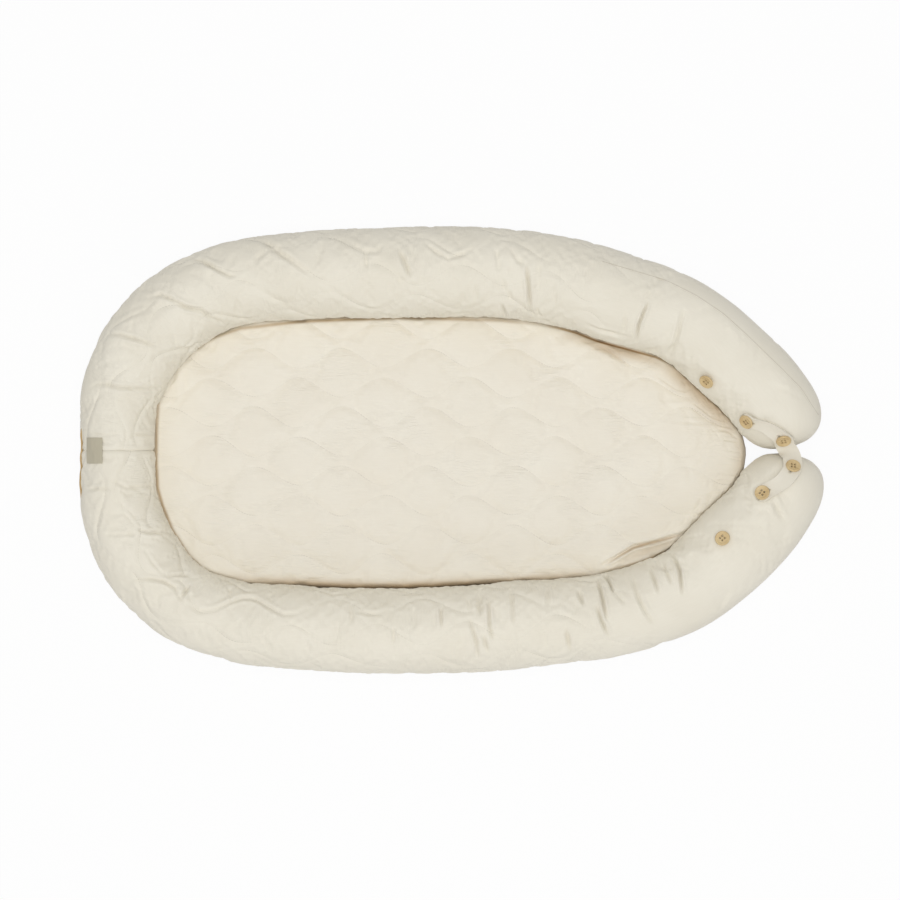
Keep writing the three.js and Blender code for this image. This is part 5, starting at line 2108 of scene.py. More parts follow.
@dataclass
class Strap:
    """The cloth strap that crosses the gap at the foot, with four buttonholes round the tip buttons."""

    width: float = 0.023
    thickness: float = 0.002
    tab: float = 0.0115
    bend_reach: float = 0.009
    button_radius: float = 0.009
    hole_length: float = 0.020
    hole_width: float = 0.005
    step: float = 0.001
    across_steps: int = 20
    clear: float = 0.0006
    edge_width: float = 0.0007
    edge_wave: float = 0.0006
    edge_turns: float = 170.0
    edge_curl: float = 0.0005
    end_share: float = 0.06
    area_share: float = 0.93
    fold_reach: float = 0.006
    stitch_count: int = 72
    stitch_length: float = 0.0014
    stitch_radius: float = 0.00028
    stitch_end_gap: float = 0.0004
    stitch_side_gap: float = 0.0006
    stitch_lift: float = 0.0001
    stitch_rise: float = 0.0002

    def _arm(self, side: Side) -> tuple[list[Seat], int]:
        """Seats along one arm from the tab's end to the tip button, and the first button's place in them.

        Args:
            side: Which arm.

        Returns:
            The seats and that place.
        """
        places = button_places(side)
        line = TubeLine(side)
        middle, tip = places[1], places[2]
        start = middle[0] - self.tab
        count = round((tip[0] - start) / self.step)
        lengths = np.linspace(start, tip[0], count + 1)
        spacing = tip[0] - middle[0]
        turn = np.clip((lengths - middle[0]) / spacing, 0, 1)
        angles = middle[1] + (tip[1] - middle[1]) * turn
        seats = [line.seat(float(s), float(a)) for s, a in zip(lengths, angles)]
        return seats, int(np.argmin(np.abs(lengths - middle[0])))

    def route(self) -> tuple[list[Seat], list[int]]:
        """The strap's middle line, and where its four buttons are on it.

        Returns:
            A seat for each step along the strap, and each button's place among them.
        """
        left, left_button = self._arm(Side.LEFT)
        right, right_button = self._arm(Side.RIGHT)
        start, end = left[-1], right[-1]
        knots = [
            start.place + start.along * self.button_radius,
            start.place + start.along * (self.button_radius + self.bend_reach),
            end.place + end.along * (self.button_radius + self.bend_reach),
            end.place + end.along * self.button_radius,
        ]
        count = max(8, round((knots[3] - knots[0]).length / self.step * 1.15))
        crossing = []
        for i in range(count + 1):
            t = i / count
            rest = 1 - t
            place = (knots[0] * rest ** 3 + knots[1] * 3 * t * rest ** 2
                     + knots[2] * 3 * t * t * rest + knots[3] * t ** 3)
            ahead = ((knots[1] - knots[0]) * rest ** 2 + (knots[2] - knots[1]) * 2 * t * rest
                     + (knots[3] - knots[2]) * t * t).normalized()
            out = start.out.lerp(end.out, float(smooth(np.array(t)))).normalized()
            crossing.append(Seat(place, ahead, out))
        back = [Seat(seat.place, -seat.along, seat.out) for seat in reversed(right)]
        leads = []
        for seat, sign in ((start, 1), (end, -1)):
            steps = round(self.button_radius / self.step)
            row = [Seat(seat.place + seat.along * self.button_radius * i / steps, seat.along * sign, seat.out)
                   for i in range(1, steps)]
            leads.append(row if sign == 1 else row[::-1])
        found = left + leads[0] + crossing + leads[1] + back
        marks = [
            left_button,
            len(left) - 1,
            len(left) + len(leads[0]) + len(crossing) + len(leads[1]),
            len(found) - 1 - right_button,
        ]
        return found, marks

    def lengths(self, seats: list[Seat]) -> np.ndarray:
        """Length along the strap at each seat."""
        steps = [(b.place - a.place).length for a, b in zip(seats[:-1], seats[1:])]
        return np.concatenate([[0.0], np.cumsum(steps)])

    def build(self) -> None:
        """Builds the strap with its buttonholes."""
        seats, marks = self.route()
        lengths = self.lengths(seats)
        holes = [lengths[mark] for mark in marks]
        bm = self._cloth(seats, lengths, holes).to_bmesh()
        col = bm.verts.layers.int["col"]
        middle_cols = (self.across_steps // 2, self.across_steps // 2 + 1)
        slit = [face for face in bm.faces if all(vert[col] in middle_cols for vert in face.verts)]
        bmesh.ops.delete(bm, geom=slit, context="FACES")
        bm.normal_update()
        centre = seats[len(seats) // 2]
        nearest = min(bm.faces, key=lambda face: (face.calc_center_median() - centre.place).length)
        if nearest.normal.dot(centre.out) < 0:
            bmesh.ops.reverse_faces(bm, faces=bm.faces[:])
        piece = finish_cloth("foot_strap", bm)
        thicken(piece, self.thickness, 1, self.edge_width, 3)
        dress(piece, "strap_cotton")
        self._blend(piece)
        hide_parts("strap_fixed_half", "strap_free_half")
        report(piece, "left_arm and strap_end")
        self._stitch_holes(seats, lengths, holes)

    def _cloth(self, seats: list[Seat], lengths: np.ndarray, holes: list[float]) -> ClothGrid:
        """Lays one layer of cloth over the seats, drawn apart at the buttonholes and round at both ends.

        Args:
            seats: The seats along the strap.
            lengths: Length along the strap at each seat.
            holes: Lengths at which the buttonholes lie.

        Returns:
            The layer.
        """
        half_width = self.width / 2
        count = self.across_steps // 2
        shares = np.concatenate([np.linspace(-1, 0, count + 1), np.linspace(0, 1, count + 1)])
        points = np.zeros((len(seats), len(shares), 3))
        flat = np.zeros((len(seats), len(shares), 2))
        for i, (seat, length) in enumerate(zip(seats, lengths)):
            near = min(length, lengths[-1] - length, half_width)
            over = 1 - near / half_width
            half = half_width * max(self.end_share, math.sqrt(max(0.0, 1 - over * over)))
            hole = 0.0
            for middle in holes:
                reach = abs(length - middle) / (self.hole_length / 2)
                if reach < 1:
                    hole = self.hole_width / 2 * (1 - reach * reach)
            side = seat.out.cross(seat.along).normalized()
            up = seat.along.cross(side).normalized()
            for j, share in enumerate(shares):
                sign = -1 if j <= count else 1
                across = sign * (hole + (half - hole) * abs(share))
                waves = self.edge_wave * math.sin(length * self.edge_turns)
                curl = waves * share * share + self.edge_curl * share * share
                points[i, j] = seat.place + side * across + up * (self.clear + curl)
                flat[i, j] = (length, across)
        return ClothGrid(points, flat, np.ones(points.shape[:2]))

    def _blend(self, piece: Piece) -> None:
        """Bakes the piece's place into its mesh.

        Args:
            piece: The strap.
        """
        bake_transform(piece)

    def _stitch_holes(self, seats: list[Seat], lengths: np.ndarray, holes: list[float]) -> None:
        """Sews the edge of each buttonhole with close stitches.

        Args:
            seats: The seats along the strap.
            lengths: Length along the strap at each seat.
            holes: Lengths at which the buttonholes lie.
        """
        for number, middle in enumerate(holes):
            body = "left_arm" if number < 2 else "strap_end"
            loops = []
            for k in range(self.stitch_count):
                turn = 2 * math.pi * k / self.stitch_count
                length = middle + math.cos(turn) * (self.hole_length / 2 + self.stitch_end_gap)
                across = math.sin(turn) * abs(math.sin(turn)) * (self.hole_width / 2 + self.stitch_side_gap)
                seat = seats[int(np.argmin(np.abs(lengths - length)))]
                side = seat.out.cross(seat.along).normalized()
                lift = seat.out * (self.clear + self.thickness + self.stitch_lift)
                place = seat.place + side * across + lift
                outer = seat.place + side * (across + math.copysign(self.stitch_length, across)) + lift
                path = [place, (place + outer) / 2 + seat.out * self.stitch_rise, outer]
                loops.append(tube_along("stitch", path, self.stitch_radius, 6))
            piece = join_pieces(f"buttonhole_stitches_{number + 1}", loops)
            declare(piece, "strap_thread", "thread", body)


LAY_START = 0.02
LAY_REACH = 0.06


def surface_tree(piece: Piece) -> BVHTree:
    """Gives a search tree of the piece's faces."""
    return BVHTree.FromObject(piece, bpy.context.evaluated_depsgraph_get())


def first_hit(trees: list[BVHTree], start: Vector, ahead: Vector) -> float:
    """Distance from a point to the nearest skin ahead of it."""
    gaps = [tree.ray_cast(start, ahead, LAY_REACH)[3] for tree in trees]
    return min((gap for gap in gaps if gap is not None), default=LAY_START)


@dataclass
class Label:
    """A bare woven label over the seam in the middle of the head."""

    length: float = 0.031
    width: float = 0.028
    thickness: float = 0.0008
    angle: float = math.radians(60.5)
    steps: int = 34
    deepest: float = 0.0235
    bridge_steps: int = 5
    rounds: int = 20
    lift: float = 0.0012

    def build(self, covers: dict[Side, Piece]) -> None:
        """Lays the label on the finished covers.

        Args:
            covers: The covers of both sides.
        """
        trees = [surface_tree(cover) for cover in covers.values()]
        line = TubeLine(Side.LEFT)
        half_turn = self.width / SIZE.tube_height
        starts = np.zeros((self.steps + 1, self.steps + 1, 3))
        outs = np.zeros_like(starts)
        depths = np.zeros(starts.shape[:2])
        flat = np.zeros((self.steps + 1, self.steps + 1, 2))
        for i in range(self.steps + 1):
            y = (i / self.steps - 0.5) * self.length + SIZE.origin_shift[1]
            for j in range(self.steps + 1):
                angle = self.angle + (j / self.steps * 2 - 1) * half_turn
                base = Vector(line.surface(abs(y), angle))
                out = Vector((-math.cos(angle), 0, math.sin(angle)))
                start = Vector((base.x, y, base.z)) + out * LAY_START
                hit = first_hit(trees, start, -out)
                starts[i, j], outs[i, j], depths[i, j] = start, out, min(hit, self.deepest)
                flat[i, j] = (y, j / self.steps * self.width)
        points = starts - outs * self._bridged(depths)[..., None]
        lift = np.array([-math.cos(self.angle), 0, math.sin(self.angle)]) * self.lift
        bm = ClothGrid(points + lift, flat, np.ones(points.shape[:2])).to_bmesh()
        bm.normal_update()
        if sum((face.normal for face in bm.faces), Vector()).x > 0:
            bmesh.ops.reverse_faces(bm, faces=bm.faces[:])
        piece = finish_cloth("woven_label_tape", bm)
        thicken(piece, self.thickness, 0, 0.0003, 2)
        declare(piece, "label_tape", "label", "nest", "woven_label")

    def _bridged(self, depths: np.ndarray) -> np.ndarray:
        """Lets the stiff tape span the seam instead of dipping into it.

        Args:
            depths: How deep the covers lie under each point.

        Returns:
            How deep the tape lies.
        """
        reach = self.bridge_steps
        padded = np.pad(depths, ((reach, reach), (0, 0)), mode="edge")
        found = np.min([padded[k:k + len(depths)] for k in range(2 * reach + 1)], axis=0)
        for _ in range(self.rounds):
            found[1:-1] = (found[:-2] + 2 * found[1:-1] + found[2:]) / 4
        return found


@dataclass
class HeadZip:
    """The zip outside the head, through which the filling is put in."""

    length: float = 0.078
    tape_width: float = 0.016
    tape_thickness: float = 0.001
    tape_lift: float = 0.00035
    tape_gap: float = 0.0008
    edge_radius: float = 0.0003
    coil_height: float = 0.0014
    pitch: float = 0.0015
    tooth_radius: float = 0.00036
    tooth_path: tuple[Triple, ...] = (
        (0.0018, 0.0014, -0.0003),
        (0.0017, 0.0021, 0.0),
        (0.0, 0.0024, 0.0002),
        (-0.0008, 0.0019, 0.0003),
    )
    slider_length: float = 0.009
    slider_width: float = 0.007
    plate_thickness: float = 0.001
    wall_thickness: float = 0.0009
    wall_height: float = 0.0019
    eye_reach: float = 0.0016
    eye_steps: int = 12
    pull_length: float = 0.016
    pull_width: float = 0.005
    pull_thickness: float = 0.0012
    pull_lift: float = 0.0019
    wire_radius: float = 0.0006
    ring_steps: int = 40

    def __post_init__(self) -> None:
        """Finds the strip where the zip is sewn."""
        line = TubeLine(Side.LEFT)
        low = Vector(line.surface(0.0, -math.pi / 8))
        high = Vector(line.surface(0.0, 0.0))
        self.across = (high - low).normalized()
        self.along = Vector((0, 1, 0))
        self.out = self.along.cross(self.across).normalized()
        if self.out.x > 0:
            self.out.negate()
            self.across.negate()
        self.middle = low.lerp(high, 0.5)
        self.middle.y = SIZE.origin_shift[1]

    def place(self, across: float, out: float, along: float) -> Vector:
        """A point in the zip's own directions."""
        return self.middle + self.across * across + self.out * out + self.along * along

    def _matrix(self, across: float, out: float, along: float) -> Matrix:
        """Turns a piece built on the ground onto the zip, its X along the zip and its Z out of it.

        Args:
            across: Place across the zip.
            out: Height over the cover.
            along: Place along the zip.

        Returns:
            The piece's new place and turn.
        """
        side = self.out.cross(self.along)
        turn = Matrix((self.along, side, self.out)).transposed().to_4x4()
        return Matrix.Translation(self.place(across, out, along)) @ turn

    def _block(self, name: str, size: Triple, bevel: float, matrix: Matrix) -> Piece:
        """A block with rounded edges, set on the zip.

        Args:
            name: Name of the block.
            size: Its size along the zip, across it and out of it.
            bevel: Width of its rounded edges.
            matrix: Its place and turn.

        Returns:
            The block.
        """
        bm = bmesh.new()
        bmesh.ops.create_cube(bm, size=1)
        bmesh.ops.scale(bm, vec=size, verts=bm.verts[:])
        bmesh.ops.bevel(bm, geom=bm.edges[:], offset=bevel, offset_type="OFFSET", segments=3,
                        profile=0.5, affect="EDGES", material=-1)
        bmesh.ops.transform(bm, matrix=matrix, verts=bm.verts[:])
        return finish_mesh(name, bm)

    def build(self) -> None:
        """Builds the tape with its coil, and the slider with its pull."""
        tapes = []
        half = self.tape_width / 4 + self.tape_gap / 2
        for side in (-1, 1):
            size = (self.length, self.tape_width / 2 - self.tape_gap, self.tape_thickness)
            middle = self._matrix(side * half, self.tape_lift + self.tape_thickness / 2, 0)
            tapes.append(self._block("tape", size, self.edge_radius, middle))
        tape = join_pieces("zip_tapes", tapes)
        self._own_map(tape)
        declare(tape, "zip_cotton", "zip", "nest", "zip_tape")
        self._coil()
        self._slider()

    def _coil(self) -> None:
        """Winds the coil of teeth, in turn from both tapes."""
        teeth = []
        count = int(self.length / self.pitch) - 2
        for i in range(count):
            along = (i - (count - 1) / 2) * self.pitch
            side = 1 if i % 2 else -1
            path = [self.place(side * across, out, along + ahead) for across, out, ahead in self.tooth_path]
            teeth.append(tube_along("tooth", path, self.tooth_radius, 6))
        coil = join_pieces("zip_coil", teeth)
        declare(coil, "zip_teeth", "zip", "nest")

    def _own_map(self, piece: Piece) -> None:
        """Lays the weave of the tape along and across the zip.

        Args:
            piece: The joined tapes.
        """
        mesh = piece.data
        layer = mesh.uv_layers.new(name="cloth")
        for loop in mesh.loops:
            offset = mesh.vertices[loop.vertex_index].co - self.middle
            layer.data[loop.index].uv = (offset.dot(self.along), offset.dot(self.across))

    def _slider(self) -> None:
        """Builds the slider's plate with two walls and an eye, and its pull."""
        rest = self.length / 2 - self.slider_length / 2
        roof = self.tape_lift + self.tape_thickness + self.coil_height + self.tape_lift
        plate = (self.slider_length, self.slider_width, self.plate_thickness)
        seat = self._matrix(0, roof + self.plate_thickness / 2, rest)
        parts = [self._block("plate", plate, self.edge_radius, seat)]
        for side in (-1, 1):
            wall = (self.slider_length, self.wall_thickness, self.wall_height)
            across = side * (self.slider_width / 2 - 0.00055)
            parts.append(self._block("wall", wall, 0.00025, self._matrix(across, roof - 0.0006, rest)))
        eye = []
        for step in range(self.eye_steps + 1):
            turn = math.pi * step / self.eye_steps
            rise = self.eye_reach * math.sin(turn)
            eye.append(self.place(0, roof + 0.0008 + rise, rest + self.eye_reach * math.cos(turn)))
        parts.append(tube_along("eye", eye, 0.0005, 10))
        pull_middle = rest - self.pull_length / 2 + 0.003
        ring = []
        for step in range(self.ring_steps):
            turn = 2 * math.pi * step / self.ring_steps
            along = pull_middle + (self.pull_length / 2 - self.wire_radius) * math.cos(turn)
            swing = math.sin(turn)
            across = (self.pull_width / 2 - self.wire_radius) * math.copysign(abs(swing) ** 0.5, swing)
            ring.append(self.place(across, roof + self.pull_lift, along))
        parts.append(tube_along("pull_frame", ring, self.wire_radius, 10, closed=True))
        size = (self.pull_length * 0.62, self.pull_width - 2 * self.wire_radius, self.pull_thickness * 0.6)
        seat = self._matrix(0, roof + self.pull_lift, pull_middle - self.pull_length * 0.16)
        parts.append(self._block("pull_plate", size, 0.0002, seat))
        slider = join_pieces("zip_slider_with_pull", parts)
        declare(slider, "slider_metal", "slider", "zip_slider", "zip_slider")


@dataclass
class HeadPiping:
    """The tan edge of the flap over the head's zip, which shows as a thin line outside the head."""

    start: float = -0.060
    end: float = 0.031
    angle: float = math.radians(21)
    radius: float = 0.0013
    steps: int = 90
    deepest: float = 0.027
    sink: float = 0.003
    sink_reach: float = 0.010
    rounds: int = 24

    def build(self, covers: dict[Side, Piece]) -> None:
        """Lays the piping on the finished covers.

        Args:
            covers: The covers of both sides.
        """
        trees = [surface_tree(cover) for cover in covers.values()]
        out = Vector((-math.cos(self.angle), 0, math.sin(self.angle)))
        path = []
        for y in np.linspace(self.start, self.end, self.steps):
            line = TubeLine(Side.LEFT if y > 0 else Side.RIGHT)
            start = Vector(line.surface(abs(float(y)), self.angle)) + out * LAY_START
            hit = first_hit(trees, start, -out)
            sunk = self.sink * (1 - smooth(np.array(min(y - self.start, self.end - y) / self.sink_reach)))
            path.append(start - out * (min(hit, self.deepest) - self.radius * 0.5 + float(sunk)))
        piece = tube_along("head_zip_piping", evened(path, self.rounds), self.radius, 12)
        declare(piece, "zip_cotton", "zip", "nest")


@dataclass
class SideFilling:
    """The loose filling in one half of the bolster."""

    side: Side
    nodes: tuple[str, ...]
    inset: float = 0.0105
    start: float = 0.003
    lump_height: float = 0.0018
    steps: int = 120
    dome_rows: int = 8
    columns: int = 48

    def build(self, cover: BolsterCover) -> None:
        """Builds a lumpy roll of filling inside the cover.

        Args:
            cover: The cover that it fills.
        """
        line = cover.line
        straight = np.linspace(self.start, line.length - SIZE.dome_length, self.steps)
        turns = np.arange(1, self.dome_rows + 1) / self.dome_rows * np.pi / 2
        dome = line.length - SIZE.dome_length + (SIZE.dome_length - self.inset) * np.sin(turns)
        lengths = np.concatenate([[self.start], straight, dome, dome[-1:]])
        angles = np.linspace(-np.pi / 2, 3 * np.pi / 2, self.columns + 1)
        length, angle = np.meshgrid(lengths, angles, indexing="ij")
        points = line.surface(length, angle, self.inset)
        centre = points.mean(axis=1, keepdims=True)
        share = np.ones(len(lengths))
        share[0] = 0
        share[-1] = 0
        lumps = noise_field(points, 0.03, 9.1)
        points = points + line.radial(length, angle) * (self.lump_height * (lumps - 1))[..., None]
        points = centre + (points - centre) * share[:, None, None]
        points[:, -1] = points[:, 0]
        grid = ClothGrid(points, line.cloth_place(length, angle), np.zeros(length.shape))
        piece = grid.to_piece(f"{self.side.label}_filling")
        dress(piece, "fibre_filling")
        cover.bend(piece, "filling", *self.nodes)


@dataclass
class WeltSeam:
    """A fine sewn seam that runs along an arm's cover, traced by the photograph's pixels."""

    side: Side
    trace: PixelLine
    radius: float = 0.0007
    sink: float = 0.0002
    rounds: int = 8

    def build(self, cover_piece: Piece, cover: BolsterCover) -> None:
        """Lays the seam's cord on the finished cover.

        Args:
            cover_piece: The finished cover.
            cover: The cover's sizes.
        """
        tree = surface_tree(cover_piece)
        path = []
        for start, end in zip(self.trace[:-1], self.trace[1:]):
            count = max(2, round(math.dist(start, end) / 2))
            for step in range(count):
                share = step / count
                across = start[0] + (end[0] - start[0]) * share
                down = start[1] + (end[1] - start[1]) * share
                place, normal, _, _ = tree.ray_cast(*Sight.ray(across, down))
                if place is not None:
                    path.append(place - normal * self.sink)
        piece = tube_along(f"{self.side.label}_arm_seam", evened(path, self.rounds), self.radius, 10)
        dress(piece, "piping_cotton")
        cover.bend(piece, "plain_cotton")


# Studio


@dataclass
class Studio:
    """A plain pale floor, soft lamps and the camera straight above."""

    floor_size: float = 12.0
    floor_drop: float = 0.0002
    floor_white: float = 0.93
    sky: float = 0.465
    top_power: float = 49.0
    top_size: float = 1.6
    top_place: Triple = (0.0, 0.0, 3.2)
    key_power: float = 13.0
    key_size: float = 1.8
    key_place: Triple = (0.0, -2.9, 1.7)

    def build(self) -> None:
        """Builds the floor, the world, the lamps and the camera."""
        self._floor()
        self._world()
        self._lamp("top_lamp", self.top_place, self.top_power, self.top_size)
        self._lamp("key_lamp", self.key_place, self.key_power, self.key_size)
        self._camera()
        bpy.context.scene.view_settings.view_transform = "Standard"

    def _floor(self) -> None:
        """Lays a pale floor that looks white to the camera but keeps the shadow."""
        bm = bmesh.new()
        bmesh.ops.create_grid(bm, x_segments=8, y_segments=8, size=self.floor_size / 2)
        bmesh.ops.translate(bm, vec=(0, 0, -self.floor_drop), verts=bm.verts[:])
        floor = finish_mesh("studio_floor", bm)
        material = bpy.data.materials.new("pale_floor")
        material.use_nodes = True
        shader = material.node_tree.nodes["Principled BSDF"]
        feed(material.node_tree, shader, {"Base Color": (0.86, 0.86, 0.86, 1), "Roughness": 0.9})
        self._whiten(material.node_tree, shader, "ShaderNodeEmission", self.floor_white, "Material Output")
        floor.data.materials.append(material)

    @staticmethod
    def _whiten(tree: bpy.types.NodeTree, usual: bpy.types.Node, kind: str, share: float, sink: str) -> None:
        """Shows white where the camera, a gloss or a glass sees the surface.

        Args:
            tree: The floor's or the sky's nodes.
            usual: The node that lights everything else.
            kind: Type of the node that gives the white.
            share: How much white covers the usual surface.
            sink: Name of the tree's last node.
        """
        path = add_node(tree, "ShaderNodeLightPath", {}).outputs
        seen = add_maths(tree, "MAXIMUM", path["Is Camera Ray"], path["Is Glossy Ray"])
        seen = add_maths(tree, "MAXIMUM", seen, path["Is Transmission Ray"])
        seen = add_maths(tree, "MULTIPLY", seen, share)
        white = add_node(tree, kind, {"Color": (1, 1, 1, 1), "Strength": 1.0})
        shown = {0: seen, 1: usual.outputs[0], 2: white.outputs[0]}
        mix = add_node(tree, "ShaderNodeMixShader", shown)
        feed(tree, tree.nodes[sink], {0: mix.outputs[0]})

    def _world(self) -> None:
        """Sets an even sky that the camera sees as white."""
        world = bpy.data.worlds.new("studio_sky")
        bpy.context.scene.world = world
        world.use_nodes = True
        sky = world.node_tree.nodes["Background"]
        feed(world.node_tree, sky, {"Color": (1.0, 0.995, 0.99, 1), "Strength": self.sky})
        self._whiten(world.node_tree, sky, "ShaderNodeBackground", 1.0, "World Output")

    def _lamp(self, name: str, place: Triple, power: float, size: float) -> None:
        """Adds a square soft lamp that looks at the lounger.

        Args:
            name: The lamp's name.
            place: Where it hangs.
            power: Its power in watts.
            size: Length of its sides.
        """
        data = bpy.data.lights.new(name, "AREA")
        data.energy = power
        data.size = size
        lamp = bpy.data.objects.new(name, data)
        lamp.location = place
        lamp.rotation_euler = (-Vector(place)).to_track_quat("-Z", "Y").to_euler()
        bpy.context.scene.collection.objects.link(lamp)

    def _camera(self) -> None:
        """Hangs the camera straight over the lounger."""
        data = bpy.data.cameras.new("photo_camera")
        data.sensor_width = Sight.sensor * 1000
        data.lens = Sight.lens()
        data.clip_end = 50
        camera = bpy.data.objects.new("photo_camera", data)
        camera.location = (0, 0, Sight.height)
        bpy.context.scene.collection.objects.link(camera)
        bpy.context.scene.camera = camera


# Folds, bands of painted shade and a seam, each along a line read off the photograph

UPPER_FOLDS = (
    Fold(((89, 389), (96, 383.5), (108, 384), (119, 387), (134, 388), (155, 388), (161, 386)),
         0.0017, 0.0022),
    Fold(((86, 433), (106, 434.7), (120, 432.6)), 0.0009, 0.0016),
    Fold(((127, 439), (136, 433.7), (154, 433.2)), 0.0013, 0.0018),
    Fold(((106, 334), (119, 334), (138, 339.5), (159, 347)), 0.0018, 0.0022),
    Fold(((179, 349.5), (195, 347)), 0.0013, 0.0018),
    Fold(((149, 297), (161, 294), (176, 301), (186, 307), (201, 310), (210, 317), (228, 325)),
         0.0020, 0.0022),
    Fold(((190, 258), (201, 260), (218, 270), (229, 275.5), (236, 276)), 0.0022, 0.0024),
    Fold(((250, 265.5), (257, 258), (267, 251), (277, 249.6)), 0.0008, 0.0026),
    Fold(((276, 249.6), (284, 255), (292, 261), (303, 270), (311, 277)), 0.0013, 0.0028),
    Fold(((261, 240), (278, 251), (288, 259)), 0.0018, 0.0034),
    Fold(((346, 240), (355, 246), (366, 251), (376, 251), (384, 243)), 0.0012, 0.0024),
    Fold(((365, 252), (366, 268)), 0.0012, 0.0020),
    Fold(((398, 249), (403, 258), (410, 277)), 0.0022, 0.0028),
    Fold(((398, 277), (408, 294)), 0.0010, 0.0030),
    Fold(((420, 238), (429, 246), (438, 253), (448, 258), (459, 255), (470, 249), (477, 242)),
         0.0012, 0.0022),
    Fold(((475, 283), (476, 301)), 0.0013, 0.0026),
    Fold(((496, 247), (498, 273)), 0.0010, 0.0026),
    Fold(((502, 278), (505, 291)), 0.0012, 0.0022),
    Fold(((509, 291), (510, 299)), 0.0011, 0.0018),
    Fold(((501, 304), (506, 316)), 0.0020, 0.0018),
    Fold(((510, 247), (517, 260), (525, 264)), 0.0013, 0.0026),
    Fold(((526, 264), (528, 284), (530, 312)), 0.0026, 0.0020),
    Fold(((538, 256), (538, 290)), 0.0009, 0.0026),
    Fold(((536, 309), (539, 316)), 0.0010, 0.0018),
    Fold(((584, 323), (597, 329), (613, 333), (629, 337)), 0.0012, 0.0018),
    Fold(((625, 315), (623, 333)), 0.0012, 0.0024),
    Fold(((652, 288), (643, 299)), 0.0010, 0.0020),
    Fold(((648, 301), (643, 312), (638, 325), (636, 340)), 0.0030, 0.0016),
    Fold(((683, 309), (678, 330), (671, 354)), 0.0017, 0.0024),
)
LOWER_FOLDS = (
    Fold(((86, 489.7), (97, 488), (110, 488.7)), 0.0014, 0.0020),
    Fold(((110, 478), (116, 482), (127, 487.6), (140, 486.5), (156, 485.5)), 0.0013, 0.0020),
    Fold(((121, 501), (125, 514), (136, 527)), 0.0006, 0.0018),
    Fold(((105, 534), (121, 534), (136, 533)), 0.0009, 0.0020),
    Fold(((136, 527), (140, 530), (150, 532), (166, 531)), 0.0017, 0.0020),
    Fold(((145, 550), (152, 562), (161, 572), (167, 575)), 0.0007, 0.0018),
    Fold(((166, 575), (190, 574)), 0.0014, 0.0018),
    Fold(((133, 579.6), (148, 578.6), (163, 580.7), (174, 587), (178, 596), (182, 601)), 0.0018, 0.0020),
    Fold(((190, 584), (180, 598)), 0.0021, 0.0022),
    Fold(((182, 601), (198, 611), (214, 609), (231, 601), (243, 597), (256, 599), (267, 606), (284, 614),
          (296, 613), (305, 608)), 0.0013, 0.0021),
    Fold(((229, 586), (231, 600)), 0.0012, 0.0020),
    Fold(((286, 616), (288, 622), (301, 626), (315, 638)), 0.0006, 0.0020),
    Fold(((351, 604), (356, 611), (368, 613.4), (376, 613), (385, 610)), 0.0009, 0.0020),
    Fold(((350, 603), (352, 622)), 0.0013, 0.0021),
    Fold(((393, 628), (393, 645)), 0.0014, 0.0018),
    Fold(((440, 606), (441, 627)), 0.0021, 0.0018),
    Fold(((468, 598), (470, 612)), 0.0011, 0.0020),
    Fold(((478, 596), (480, 616)), 0.0020, 0.0026),
    Fold(((469, 618), (472, 629), (476, 641), (478, 658)), 0.0021, 0.0020),
    Fold(((483, 635), (488, 652)), 0.0021, 0.0020),
    Fold(((488, 598), (489, 627), (493, 639)), 0.0023, 0.0018),
    Fold(((511, 588), (513, 625)), 0.0018, 0.0022),
    Fold(((547, 585), (547, 606)), 0.0015, 0.0022),
    Fold(((565, 628), (568, 640), (570, 651)), 0.0019, 0.0020),
    Fold(((577, 589), (583, 604)), 0.0024, 0.0022),
    Fold(((597, 578), (602, 599), (606, 619)), 0.0034, 0.0018),
    Fold(((596, 605), (601, 620), (608, 636)), 0.0028, 0.0020),
    Fold(((604, 574), (608, 580), (613, 592)), 0.0030, 0.0016),
    Fold(((613, 590), (625, 604)), 0.0014, 0.0026),
    Fold(((630, 574), (636, 592), (641, 604), (645, 612), (654, 625)), 0.0019, 0.0022),
    Fold(((649, 567), (654, 580), (658, 592)), 0.0023, 0.0020),
    Fold(((662, 564), (667, 574), (671, 584)), 0.0019, 0.0018),
    Fold(((670, 553), (675, 560), (679, 570), (682, 594)), 0.0030, 0.0018),
    Fold(((770, 497), (783, 519)), 0.0016, 0.0030),
)
